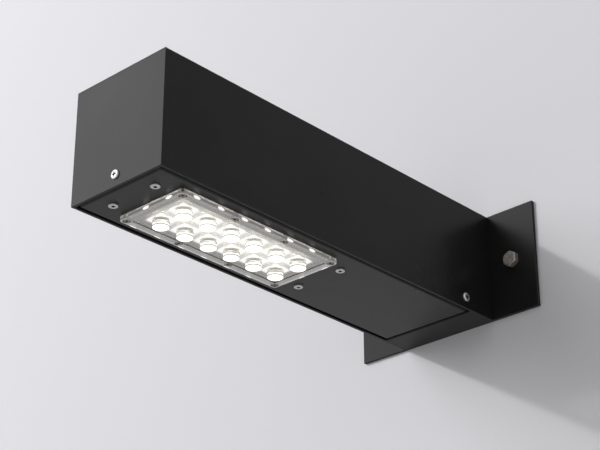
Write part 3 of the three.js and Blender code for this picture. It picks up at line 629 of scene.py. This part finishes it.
def hex_nut(across, hole, height):
    """A nut chamfered on both sides, with a plain hole."""
    corner = across / 2 / cos(pi / 6)
    crown = turned([(hole, 0), (corner - 0.25, 0), (corner + 0.1, 0.25), (corner + 0.1, height - 0.25),
                    (corner - 0.25, height), (hole, height), (hole, 0)])
    nut = combined(prism(6, across, -0.01, height + 0.01), "INTERSECT", crown)
    rounded(nut, sharp_edges(nut, 50), 0.06, 1)
    return marked_turning(nut)


for side, sign in (("left", -1), ("right", 1)):
    bm = placed(cross_screw(side_shank), (sign * box_side, pivot_y, screw_level), (sign, 0, 0))
    piece(f"side_screw_{side}", bm, satin_zinc, "housing", "zinc_plated", f"pivot_screw_{side}")
    bm = placed(spacer(spacer_radius, side_spacer), (sign * wall_inner, pivot_y, screw_level), (-sign, 0, 0))
    piece(f"side_spacer_{side}", bm, bright_zinc, "housing", "zinc_plated", f"pivot_spacer_{side}")
    bm = placed(spacer(press_radius, press_depth), (sign * rim_inner, pivot_y, screw_level), (-sign, 0, 0))
    piece(f"press_nut_{side}", bm, bright_zinc, "tray", "zinc_plated", f"pivot_nut_{side}")

bm = placed(cross_screw(end_shank), (0, box_front, screw_level), (0, -1, 0))
piece("locking_screw", bm, satin_zinc, "housing", "zinc_plated", "end_screw")
bm = placed(spacer(spacer_radius, end_spacer), (0, box_end + end_spacer, screw_level), (0, -1, 0))
piece("locking_spacer", bm, bright_zinc, "housing", "zinc_plated", "end_screw_spacer")
bm = placed(hex_nut(lock_across, screw_hole, lock_height), (0, lock_rear, screw_level), (0, -1, 0))
piece("locking_nut", bm, bright_zinc, "housing", "zinc_plated", "end_screw_nut")


# Gear tray
# A pressed steel tray, powder coated like the housing. Its floor is the light's underside, cut out for the
# optics, with upturned rims at the sides and front and weld studs inside for driver and terminals.
tray_side, tray_front, tray_rear, rim_top = 46, -394, -35.1, -30
tray_sheet, bend_radius, pressed_edge = 2, 2.2, 0.28
module_y, cutout_x, cutout_y, cutout_corner = -276, 26.5, 77.3, 4
cover_screw_x, cover_screw_y, lens_screw_x, lens_screw_y, lens_screw_hole = 23.5, 102.75, 31.2, 82, 1.8
cover_screw_places = [(sx * cover_screw_x, module_y + sy * cover_screw_y)
                      for sy in (-1, 1) for sx in (-1, 1)]
lens_screw_places = [(sx * lens_screw_x, module_y + lens_screw_y * row)
                     for row in (-1, -1 / 3, 1 / 3, 1) for sx in (-1, 1)]
stud_radius, stud_foot, stud_past_nut = 1.5, -49.5, 3.4
stud_nuts = [("driver_nut_right", 37, -115.5, -45.5), ("driver_nut_left", -37, -115.5, -45.5),
             ("terminal_block_nut", 14.43, -53, -32.5), ("clamp_nut_1", -38.48, -53, -46),
             ("clamp_nut_2", -17.08, -53, -46), ("earth_nut", 36.59, -53, -47.7)]


def upright(radius, x, y, low, high, sides=32):
    """A round bar along Z."""
    bm = bmesh.new()
    bmesh.ops.create_cone(bm, cap_ends=True, segments=sides, radius1=radius, radius2=radius, depth=high - low)
    bmesh.ops.translate(bm, vec=(x, y, (low + high) / 2), verts=bm.verts)
    return bm


def lying(radius, along, place, start, end, sides=32):
    """A round bar along X or Y."""
    bm = upright(radius, 0, 0, start, end, sides)
    turn = Matrix.Rotation(radians(90), 4, "Y") if along == "X" else Matrix.Rotation(radians(-90), 4, "X")
    bmesh.ops.transform(bm, matrix=Matrix.Translation(place) @ turn, verts=bm.verts)
    return bm


def upright_edges(bm):
    """The edges of a box that run along Z."""
    return [edge for edge in bm.edges if near(edge.verts[0].co.x, edge.verts[1].co.x)
            and near(edge.verts[0].co.y, edge.verts[1].co.y)]


bm = bmesh.new()
cube(bm, (-tray_side, tray_front, -box_side), (tray_side, tray_rear, rim_top))
bmesh.ops.delete(bm, geom=[face for face in bm.faces if face.normal.z > 0.5 or face.normal.y > 0.5],
                 context="FACES")
rounded(bm, [edge for edge in bm.edges if len(edge.link_faces) == 2], bend_radius, 6)
bmesh.ops.solidify(bm, geom=bm.faces[:], thickness=tray_sheet)
rounded(bm, sharp_edges(bm, 60), pressed_edge, 2)
cutout = box_tool((-cutout_x, module_y - cutout_y, -box_side - 1), (cutout_x, module_y + cutout_y, -46))
rounded(cutout, upright_edges(cutout), cutout_corner, 6)
slot = box_tool((-screw_hole, tray_front - 1, screw_level), (screw_hole, tray_front + 3, rim_top + 1))
slot_end = lying(screw_hole, "Y", (0, 0, screw_level), tray_front - 1, tray_front + 3)
pivot_holes = lying(screw_hole, "X", (0, pivot_y, screw_level), -50, 50)
bm = combined(bm, "DIFFERENCE", cutout, slot, slot_end, pivot_holes,
              *[upright(screw_hole, x, y, -52, -47) for x, y in cover_screw_places],
              *[upright(lens_screw_hole, x, y, -52, -47) for x, y in lens_screw_places])
bm = combined(bm, "UNION", *[upright(stud_radius, x, y, stud_foot, nut_level + stud_past_nut, 24)
                             for node, x, y, nut_level in stud_nuts])
tray_coat = powder_coat("tray_coat", (-tray_side, tray_front, -box_side), (tray_side, tray_rear, rim_top),
                        0.31)
piece("pressed_tray", bm, tray_coat, "tray", "powder_coat", "gear_tray")


# Lens array
# One clear acrylic moulding: a flange screwed to the cover, a thinner window, and over each LED a round optic
# that stands proud and reaches back as a collar with a hollow for the LED. The glow round every LED is
# painted light, set as emission.
led_pitch = 25.4
led_places = [(led_pitch * (row - 0.5), module_y + led_pitch * (column - 2.5))
              for column in range(6) for row in range(2)]
lens_half_x, lens_half_y, flange_width = 35.7, 86.5, 7.2
lens_top, lens_low, window_level, seat_level = -50.56, -54.4, -53.2, -52.2
optic_end, collar_top, optic_radius, collar_radius, hollow_radius = -59.5, -46.8, 6.6, 7, 4
sink_radius = 3.35
pip_places = [(-20, -50.8), (20, -50.8), (-20, 50.8), (20, 50.8), (0, -72), (0, 72)]


def turned_at(x, y, sides, profile):
    """A solid of revolution about an upright axis."""
    bm = turned(profile, sides)
    bmesh.ops.translate(bm, vec=(x, y, 0), verts=bm.verts)
    return bm


optic_profile = [
    (0, optic_end), (optic_radius - 0.3, optic_end), (optic_radius - 0.1, optic_end + 0.08),
    (optic_radius, optic_end + 0.3), (optic_radius, -55.2), (collar_radius, -55), (collar_radius, collar_top),
    (hollow_radius, collar_top), (hollow_radius, collar_top - 1.8), (3.4, -49.7), (2.2, -50.35), (0, -50.6)]
sink_profile = [(0, -55), (sink_radius, -55), (sink_radius, seat_level), (lens_screw_hole, seat_level),
                (lens_screw_hole, -50), (0, -50)]
pip_profile = [(0, -53.8), (1.1, -53.8), (1.3, -53.6), (1.3, -53), (0, -53)]
lens = bmesh.new()
cube(lens, (-lens_half_x, module_y - lens_half_y, lens_low), (lens_half_x, module_y + lens_half_y, lens_top))
rounded(lens, upright_edges(lens), 2, 1)
rounded(lens, edges_at(lens, lambda co: near(co.z, lens_low)), 0.45, 3)
window_x, window_y = lens_half_x - flange_width, lens_half_y - flange_width
recess = box_tool((-window_x, module_y - window_y, lens_low - 1),
                  (window_x, module_y + window_y, window_level))
rounded(recess, sharp_edges(recess, 60, lambda co: co.z > lens_low), 0.5, 3)
lens = combined(lens, "DIFFERENCE", recess,
                *[turned_at(x, y, 24, sink_profile) for x, y in lens_screw_places])
lens = combined(lens, "UNION", *[turned_at(x, module_y + y, 16, pip_profile) for x, y in pip_places],
                *[turned_at(x, y, 40, optic_profile) for x, y in led_places])


def in_shade(middle):
    """True on the walls of the screws' sinks and of the step round the window, which get a painted shade."""
    if min((middle.xy - Vector(place)).length for place in lens_screw_places) < sink_radius + 0.15:
        return -54.35 < middle.z < -50.6
    across, along = abs(middle.x) - window_x, abs(middle.y - module_y) - window_y
    return abs(max(across, along)) < 0.5 and lens_low + 0.05 < middle.z < window_level - 0.05


shade = lens.loops.layers.float.new("Recess")
for face in lens.faces:
    for loop in face.loops:
        loop[shade] = 1.0 if in_shade(face.calc_center_median()) else 0.0


def led_distance_group():
    """How a point lies to the nearest LED of the 2 by 6 grid, in metres.

    Distance is measured round about the LED and Square with flat sides. Beyond is how far the point lies
    outside the rectangle through the outer LEDs.
    """
    group, given, result = new_group("led_distance", [("Coordinates", "NodeSocketVector", None)], [
        ("Distance", "NodeSocketFloat"), ("Square", "NodeSocketFloat"), ("Beyond", "NodeSocketFloat"),
        ("Offset", "NodeSocketVector"), ("Level", "NodeSocketFloat")])
    shifted = added(group, "ShaderNodeVectorMath", {"operation": "SUBTRACT"}, {
        0: given.outputs["Coordinates"], 1: (0.0, module_y * MM, 0.0)})
    x, y, z = added(group, "ShaderNodeSeparateXYZ", (), {0: shifted.outputs[0]}).outputs
    away = []
    for part, outermost in ((x, 0.5), (y, 2.5)):
        steps = calculated(group, "DIVIDE", part, led_pitch * MM)
        whole = calculated(group, "ROUND", calculated(group, "SUBTRACT", steps, 0.5))
        led_step = added(group, "ShaderNodeClamp", (), {
            "Value": calculated(group, "ADD", whole, 0.5), "Min": -outermost, "Max": outermost})
        gap = calculated(group, "SUBTRACT", steps, led_step.outputs[0])
        away.append(calculated(group, "MULTIPLY", gap, led_pitch * MM))
    across = added(group, "ShaderNodeCombineXYZ", (), {0: away[0], 1: away[1]})
    length = added(group, "ShaderNodeVectorMath", {"operation": "LENGTH"}, {0: across.outputs[0]})
    square = calculated(group, "MAXIMUM", *[calculated(group, "ABSOLUTE", part) for part in away])
    positive = added(group, "ShaderNodeVectorMath", {"operation": "ABSOLUTE"}, {0: shifted.outputs[0]})
    past = added(group, "ShaderNodeVectorMath", {"operation": "SUBTRACT"}, {
        0: positive.outputs[0], 1: (led_pitch * 0.5 * MM, led_pitch * 2.5 * MM, 0)})
    sides = added(group, "ShaderNodeSeparateXYZ", (), {0: past.outputs[0]}).outputs
    beyond = calculated(group, "MAXIMUM", sides[0], sides[1])
    group.links.new(length.outputs["Value"], result.inputs["Distance"])
    group.links.new(square, result.inputs["Square"])
    group.links.new(beyond, result.inputs["Beyond"])
    group.links.new(across.outputs[0], result.inputs["Offset"])
    group.links.new(z, result.inputs["Level"])
    return group


led_distance = led_distance_group()


def clear_acrylic():
    """Clear plastic that glows where the LEDs' light leaves it.

    The glow is painted light, set as emission: the optics' end faces and a square round each LED are the
    brightest, and two painted dark arcs ring each optic's wall. A short painted glint on the outer edge,
    opposite each LED, stands for light that runs along inside the plastic and leaves it there.
    """
    material, tree, surface, coordinates = new_material("clear_acrylic")
    grid = added(tree, "ShaderNodeGroup", {"node_tree": led_distance}, {"Coordinates": coordinates})

    def fading(value, start, end, at_start, at_end):
        return faded(tree, value, start, end, at_start, at_end, "SMOOTHSTEP")

    def joined(operation, *values):
        return calculated(tree, operation, *values)

    # Painted light along each optic, by height: a white end face, two painted dark arcs with a painted glow
    # between and round them, and little glow above the flange's top.
    height = faded(tree, grid.outputs["Level"], -0.0600, -0.0500, 0.0, 1.0)
    white, rim, clear = (1.0, 0.995, 0.985), (0.1, 0.095, 0.065), (0.26, 0.256, 0.24)
    inside = (0.02, 0.02, 0.019)
    optic_glow = ramp(tree, height, (0.062, white), (0.07, rim), (0.14, rim), (0.16, clear),
                      (0.46, clear), (0.47, rim), (0.53, rim), (0.54, clear), (0.93, clear), (0.95, inside))
    # The base colour is painted darker at the same arcs and above the flange's top: painted shade.
    glassy, dim, dimmer = (0.87, 0.863, 0.84), (0.15, 0.14, 0.1), (0.12, 0.115, 0.09)
    optic_tint = ramp(tree, height, (0.06, glassy), (0.07, dimmer), (0.15, dimmer), (0.17, glassy),
                      (0.46, glassy), (0.47, dim), (0.54, dim), (0.55, glassy), (0.93, glassy), (0.95, dim))
    inner_cell = fading(grid.outputs["Square"], 0.0070, 0.0092, 0.4, 0.0)
    on_inner_face = joined("GREATER_THAN", grid.outputs["Level"], (lens_top - 0.1) * MM)
    inner_glow = joined("MULTIPLY", inner_cell, on_inner_face)
    cell = fading(grid.outputs["Square"], 0.0067, 0.0118, 0.6, 0.27)
    field = fading(grid.outputs["Beyond"], 0.0076, 0.0100, 1.0, 0.0)
    face_glow = joined("MAXIMUM", joined("MULTIPLY", cell, field), 0.135)
    outer_wall = joined("GREATER_THAN", grid.outputs["Beyond"], (lens_half_x - led_pitch / 2 - 0.3) * MM)
    # Painted glints: a bright oval low on the outer wall, 8 mm along from each LED.
    slid = added(tree, "ShaderNodeVectorMath", {"operation": "ADD"}, {
        0: coordinates, 1: (-8 * MM, 8 * MM, 0)}).outputs[0]
    streaks = added(tree, "ShaderNodeGroup", {"node_tree": led_distance}, {"Coordinates": slid})
    offset = added(tree, "ShaderNodeSeparateXYZ", (), {0: streaks.outputs["Offset"]})
    place = added(tree, "ShaderNodeSeparateXYZ", (), {0: coordinates})
    on_side = joined("GREATER_THAN", joined("ABSOLUTE", place.outputs[0]), (lens_half_x - 0.3) * MM)
    along = added(tree, "ShaderNodeMix", {"data_type": "FLOAT"}, {
        "Factor": on_side, "A": offset.outputs[0], "B": offset.outputs[1]}).outputs["Result"]
    upward = joined("SUBTRACT", place.outputs[2], -53.3 * MM)
    oval = added(tree, "ShaderNodeCombineXYZ", (), {0: along, 1: joined("MULTIPLY", upward, 2.9)})
    reach = added(tree, "ShaderNodeVectorMath", {"operation": "LENGTH"}, {0: oval.outputs[0]})
    streak = fading(reach.outputs["Value"], 0.0028, 0.0042, 1.0, 0.14)
    flat_or_wall = added(tree, "ShaderNodeMix", {"data_type": "FLOAT"}, {
        "Factor": outer_wall, "A": face_glow, "B": streak}).outputs["Result"]
    below = joined("LESS_THAN", grid.outputs["Level"], (window_level + 0.05) * MM)
    shown = joined("ADD", inner_glow, joined("MULTIPLY", flat_or_wall, joined("MAXIMUM", below, outer_wall)))
    # On the sinks' and step's walls the glow is cut out and the colour made near-black: painted shade.
    recess = added(tree, "ShaderNodeAttribute", {"attribute_name": "Recess"}).outputs["Fac"]
    lit = joined("MULTIPLY", shown, joined("SUBTRACT", 1, recess))
    face_tint = ramp(tree, lit, (0.0, (0, 0, 0)), (1.0, (1.0, 0.98, 0.94)))
    on_optic = joined("LESS_THAN", grid.outputs["Distance"], (collar_radius + 0.12) * MM)
    tree.links.new(blended(tree, on_optic, face_tint, optic_glow), surface.inputs["Emission Color"])
    surface.inputs["Emission Strength"].default_value = 1.1
    # The outer walls get that near-black colour too: painted shade, under their painted glints.
    darker = joined("MAXIMUM", recess, outer_wall)
    plain = ramp(tree, darker, (0.0, (0.93, 0.925, 0.895)), (1.0, (0.09, 0.085, 0.075)))
    tree.links.new(blended(tree, on_optic, plain, optic_tint), surface.inputs["Base Color"])
    surface.inputs["Transmission Weight"].default_value = 0.93
    surface.inputs["IOR"].default_value = 1.49
    grain = added(tree, "ShaderNodeTexNoise", (), {"Vector": coordinates, "Scale": 300.0, "Detail": 2.0})
    surface.inputs["Roughness"].default_value = 0.03
    tree.links.new(bump(tree, grain.outputs["Fac"], 0.03, 0.0001), surface.inputs["Normal"])
    return material


piece("moulded_lens", lens, clear_acrylic(), "tray", "clear_acrylic", "lens_array")


# Lens gasket and lens screws
# A grey silicone cord that lies in a groove in the back of the lens, and eight small plated screws that hold
# the lens's flange to the cover. The screws' zinc is duller than that of the others, and darker as painted
# shade for their sinks.
silicone = moulded_skin("grey_silicone", (0.2, 0.2, 0.2), (0.27, 0.27, 0.265), 0.6, 900.0, 0.15, 0.0001)
bm = cad_copy("lens_gasket")
rounded(bm, sharp_edges(bm, 50), 0.35, 3)
piece("silicone_gasket", bm, silicone, "tray", "grey_silicone", "lens_gasket")


def socket_screw(radius, height, soft, shank_radius, shank, socket_across, socket_depth):
    """Head and shank along Z, with the underside of the head at 0 and a hex socket in its top."""
    head = combined(turned(head_profile(radius, height, soft)), "DIFFERENCE",
                    prism(6, socket_across, height - socket_depth, height + 1))
    shaft = turned([(0, -shank), (shank_radius - 0.3, -shank), (shank_radius, -shank + 0.3),
                    (shank_radius, 0.3), (0, 0.3)], 32)
    return marked_turning(combined(head, "UNION", shaft), lambda middle: (
        middle.z > 0.1 and middle.xy.length < socket_across / 2 + 0.02))


# Darker zinc: painted shade for the screws in their sinks.
dull_zinc = plated_steel("dull_zinc", (0.26, 0.25, 0.235), (0.4, 0.385, 0.365), 0.5, 0.12)
for index, (x, y) in enumerate(lens_screw_places, 1):
    bm = socket_screw(radius=2.75, height=2, soft=0.5, shank_radius=1.5, shank=6, socket_across=2,
                      socket_depth=1.2)
    bm = placed(bm, (x, y, seat_level), (0, 0, -1))
    piece(f"flange_screw_{index}", bm, dull_zinc, "tray", "zinc_plated", f"lens_screw_{index}")


# LED board, LEDs and thermal pad
# A white aluminium-core board with twelve LEDs, each a square base with a phosphor patch under a clear dome.
# A painted glow makes the board brightest round each LED. Behind it lies a thin grey thermal pad.
board_x, board_y, board_face, board_back, pad_back = 23, 73.8, -46.5, -44.9, -44.4


def white_board():
    """White solder mask over copper tracks, with a painted glow spreading from each LED."""
    material, tree, surface, coordinates = new_material("white_board")
    grid = added(tree, "ShaderNodeGroup", {"node_tree": led_distance}, {"Coordinates": coordinates})
    # Painted light: emission round each LED stands for the light it spills on the board.
    near_led = faded(tree, grid.outputs["Distance"], 0.0035, 0.0075, 0.2, 0.0, "SMOOTHERSTEP")
    glow = ramp(tree, near_led, (0, (0, 0, 0)), (1, (1, 0.985, 0.93)))
    tree.links.new(glow, surface.inputs["Emission Color"])
    surface.inputs["Emission Strength"].default_value = 1
    tracks = added(tree, "ShaderNodeTexBrick", {"offset": 0.5}, {
        "Vector": coordinates, "Scale": 60.0, "Mortar Size": 0.006, "Color1": (0.42, 0.42, 0.4, 1),
        "Color2": (0.39, 0.39, 0.37, 1), "Mortar": (0.3, 0.3, 0.28, 1)})
    tree.links.new(tracks.outputs["Color"], surface.inputs["Base Color"])
    surface.inputs["Roughness"].default_value = 0.4
    return material


bm = bmesh.new()
cube(bm, (-board_x, module_y - board_y, board_face), (board_x, module_y + board_y, board_back))
rounded(bm, sharp_edges(bm), 0.15, 2)
piece("white_led_board", bm, white_board(), "tray", "white_board", "led_board")

pad_skin = moulded_skin("thermal_pad_skin", (0.2, 0.22, 0.24), (0.26, 0.28, 0.3), 0.85, 2500.0, 0.3, 0.00008)
bm = bmesh.new()
cube(bm, (-board_x, module_y - board_y, board_back), (board_x, module_y + board_y, pad_back))
rounded(bm, sharp_edges(bm), 0.12, 2)
piece("grey_thermal_pad", bm, pad_skin, "tray", "grey_pad", "thermal_pad")


chip_half, chip_height, dome_radius, dome_foot = 1.75, 0.7, 1.4, 0.3


def lit_silicone():
    """Yellow phosphor under clear silicone, brightest in the middle."""
    material, tree, surface, coordinates = new_material("led_phosphor")
    grid = added(tree, "ShaderNodeGroup", {"node_tree": led_distance}, {"Coordinates": coordinates})
    hot = faded(tree, grid.outputs["Distance"], 0.0012, 0.0022, 1.0, 0.35, "SMOOTHSTEP")
    glow = ramp(tree, hot, (0, (0.9, 0.8, 0.55)), (1, (1, 0.97, 0.88)))
    tree.links.new(glow, surface.inputs["Emission Color"])
    surface.inputs["Emission Strength"].default_value = 0.4
    surface.inputs["Base Color"].default_value = (0.95, 0.85, 0.5, 1)
    surface.inputs["Roughness"].default_value = 0.25
    return material


phosphor = lit_silicone()
dome_curve = [(dome_radius * cos(step / 6 * pi / 2), chip_height + dome_radius * sin(step / 6 * pi / 2))
              for step in range(1, 6)]
dome_profile = [(0, dome_foot), (dome_radius, dome_foot), (dome_radius, chip_height + 0.05), *dome_curve,
                (0, chip_height + dome_radius)]
for index, (x, y) in enumerate(led_places, 1):
    base = box_tool((-chip_half, -chip_half, 0), (chip_half, chip_half, chip_height))
    rounded(base, sharp_edges(base), 0.12, 2)
    bm = placed(combined(base, "UNION", turned(dome_profile, 24)), (x, y, board_face), (0, 0, -1))
    piece(f"led_chip_{index}", bm, phosphor, "tray", "led_silicone", f"led_{index}")


# Heat sink
# Die-cast aluminium with a sandy casting skin: a finned base that draws heat from the board. The cover
# screws go into its four bosses.
def cast_aluminium():
    """Bare metal with the grain of the mould and slow changes of tone."""
    material, tree, surface, coordinates = new_material("cast_aluminium")
    grain = added(tree, "ShaderNodeGroup", {"node_tree": powder_grain}, {
        "Coordinates": coordinates, "Peel per metre": 1400.0})
    tone = ramp(tree, grain.outputs["Tone"], (0.3, (0.42, 0.43, 0.45)), (0.7, (0.56, 0.57, 0.58)))
    tree.links.new(tone, surface.inputs["Base Color"])
    surface.inputs["Metallic"].default_value = 1
    tree.links.new(faded(tree, grain.outputs["Height"], 0.3, 0.7, 0.42, 0.58), surface.inputs["Roughness"])
    tree.links.new(bump(tree, grain.outputs["Height"], 0.3, 0.00015), surface.inputs["Normal"])
    return material


bm = cad_copy("heat_sink")
rounded(bm, sharp_edges(bm, 60), 0.3, 2)
piece("finned_heat_sink", bm, cast_aluminium(), "tray", "bare_aluminium", "heat_sink")


# Cover screws
# Four bright zinc-plated M4 button-head screws with a hex socket. They go through the cover into the heat
# sink's bosses.
for index, (x, y) in enumerate(cover_screw_places, 1):
    bm = socket_screw(radius=3.95, height=1.6, soft=0.45, shank_radius=screw_radius, shank=9.5,
                      socket_across=2.8, socket_depth=1.1)
    bm = placed(bm, (x, y, -box_side), (0, 0, -1))
    piece(f"button_screw_{index}", bm, bright_zinc, "tray", "zinc_plated", f"cover_screw_{index}")


# Driver
# A sealed light grey plastic case with a screw ear on each side, held on two weld studs. The ears keep sharp
# edges and the case has soft ones.
case_side = 33.2
case_skin = moulded_skin("driver_case", (0.58, 0.59, 0.6), (0.64, 0.65, 0.66), 0.5, 1100.0, 0.25, 0.00012)
bm = cad_copy("led_driver")
rounded(bm, sharp_edges(bm, 60, lambda co: abs(co.x) < case_side), 1.2, 4)
piece("sealed_driver", bm, case_skin, "tray", "driver_case", "led_driver")


# Stud nuts
# Six small zinc-plated nuts on the tray's weld studs. Two hold the driver, one the terminal block, two the
# cable clamp and one the earth lead.
nut_across, nut_hole, nut_height = 5.5, 1.8, 2.4
for node, x, y, nut_level in stud_nuts:
    bm = placed(hex_nut(nut_across, nut_hole, nut_height), (x, y, nut_level), (0, 0, 1))
    piece(f"hex_{node}", bm, bright_zinc, "tray", "zinc_plated", node)


# Terminal block
# Three poles in one cream plastic moulding, held on a weld stud. It has round wire holes at both sides and a
# plated screw down each well.
block_skin = moulded_skin("block_plastic", (0.66, 0.64, 0.58), (0.73, 0.71, 0.65), 0.42, 800.0, 0.12, 0.0001)
bm = cad_copy("terminal_block")
rounded(bm, sharp_edges(bm, 60), 0.25, 2)
piece("cream_block", bm, block_skin, "tray", "block_plastic", "terminal_block")
first_pole, pole_pitch, well_floor = 0.93, 9, -36.45
for pole in range(3):
    for end, y in (("front", -56.5), ("rear", -49.5)):
        head = turned([(0, 0), (1.7, 0), (1.7, 1.2), (1.5, 1.5), (0, 1.5)], 24)
        bm = marked_turning(combined(head, "DIFFERENCE", box_tool((-2, -0.3, 0.8), (2, 0.3, 2))))
        bm = placed(bm, (first_pole + pole * pole_pitch, y, well_floor), (0, 0, 1))
        piece(f"pole_screw_{pole + 1}_{end}", bm, bright_zinc, "tray", "zinc_plated")


# Cable clamp
# A moulded black nylon saddle that would hold the supply cable down. It sits on two of the weld studs, under
# two of the stud nuts.
nylon = moulded_skin("clamp_nylon", (0.02, 0.02, 0.021), (0.032, 0.032, 0.033), 0.5, 900.0, 0.2, 0.0001)
bm = cad_copy("cable_clamp")
rounded(bm, sharp_edges(bm, 60), 0.4, 3)
piece("nylon_clamp", bm, nylon, "tray", "clamp_plastic", "cable_clamp")


# Leads
# Single-core wires with glossy insulation: red and black to the LED board, brown and blue to the driver,
# and a green and yellow earth lead with its lug under the earth nut.
def wire_skin(name, colour, stripe=None):
    """Smooth insulation in one colour, with bands of a second colour across it where asked."""
    material, tree, surface, coordinates = new_material(name)
    smooth = added(tree, "ShaderNodeTexNoise", (), {"Vector": coordinates, "Scale": 180.0, "Detail": 3.0})
    shade = ramp(tree, smooth.outputs["Fac"], (0.35, [part * 0.85 for part in colour]), (0.65, colour))
    if stripe:
        x, y, z = added(tree, "ShaderNodeSeparateXYZ", (), {0: coordinates}).outputs
        band = calculated(tree, "PINGPONG", calculated(tree, "MULTIPLY_ADD", x, 260.0, z), 1.0)
        shade = blended(tree, calculated(tree, "GREATER_THAN", band, 0.6), shade, (*stripe, 1))
    tree.links.new(shade, surface.inputs["Base Color"])
    surface.inputs["Roughness"].default_value = 0.38
    tree.links.new(bump(tree, smooth.outputs["Fac"], 0.1, 0.0001), surface.inputs["Normal"])
    return material


def straight_lead(radius, x, level, start, end):
    """A wire along Y with slightly rounded ends."""
    half = (end - start) / 2
    bm = upright(radius, 0, 0, -half, half, 24)
    rounded(bm, sharp_edges(bm, 60), 0.12, 2)
    matrix = Matrix.Translation((x, (start + end) / 2, level)) @ Matrix.Rotation(radians(90), 4, "X")
    bmesh.ops.transform(bm, matrix=matrix, verts=bm.verts)
    return bm


leads = [
    ("led_lead_positive", "red_wire", (0.45, 0.02, 0.015), 0.8, 5, -45.7, -202.2, -163),
    ("led_lead_negative", "black_wire", (0.016, 0.016, 0.016), 0.8, -5, -45.7, -202.2, -163),
    ("mains_lead_live", "brown_wire", (0.15, 0.055, 0.02), 1.2, 0.93, -41.5, -68, -54.3),
    ("mains_lead_neutral", "blue_wire", (0.02, 0.1, 0.38), 1.2, 9.93, -41.5, -68, -54.3),
]
for node, slot, colour, radius, x, level, start, end in leads:
    bm = straight_lead(radius, x, level, start, end)
    piece(f"{slot}_{node}", bm, wire_skin(slot, colour), "tray", slot, node)

bm = cad_copy("earth_lead", 0.005)
piece("earth_wire_and_lug", bm, wire_skin("earth_wire", (0.1, 0.3, 0.03), (0.75, 0.62, 0.03)), "tray",
      "earth_wire", "earth_lead")
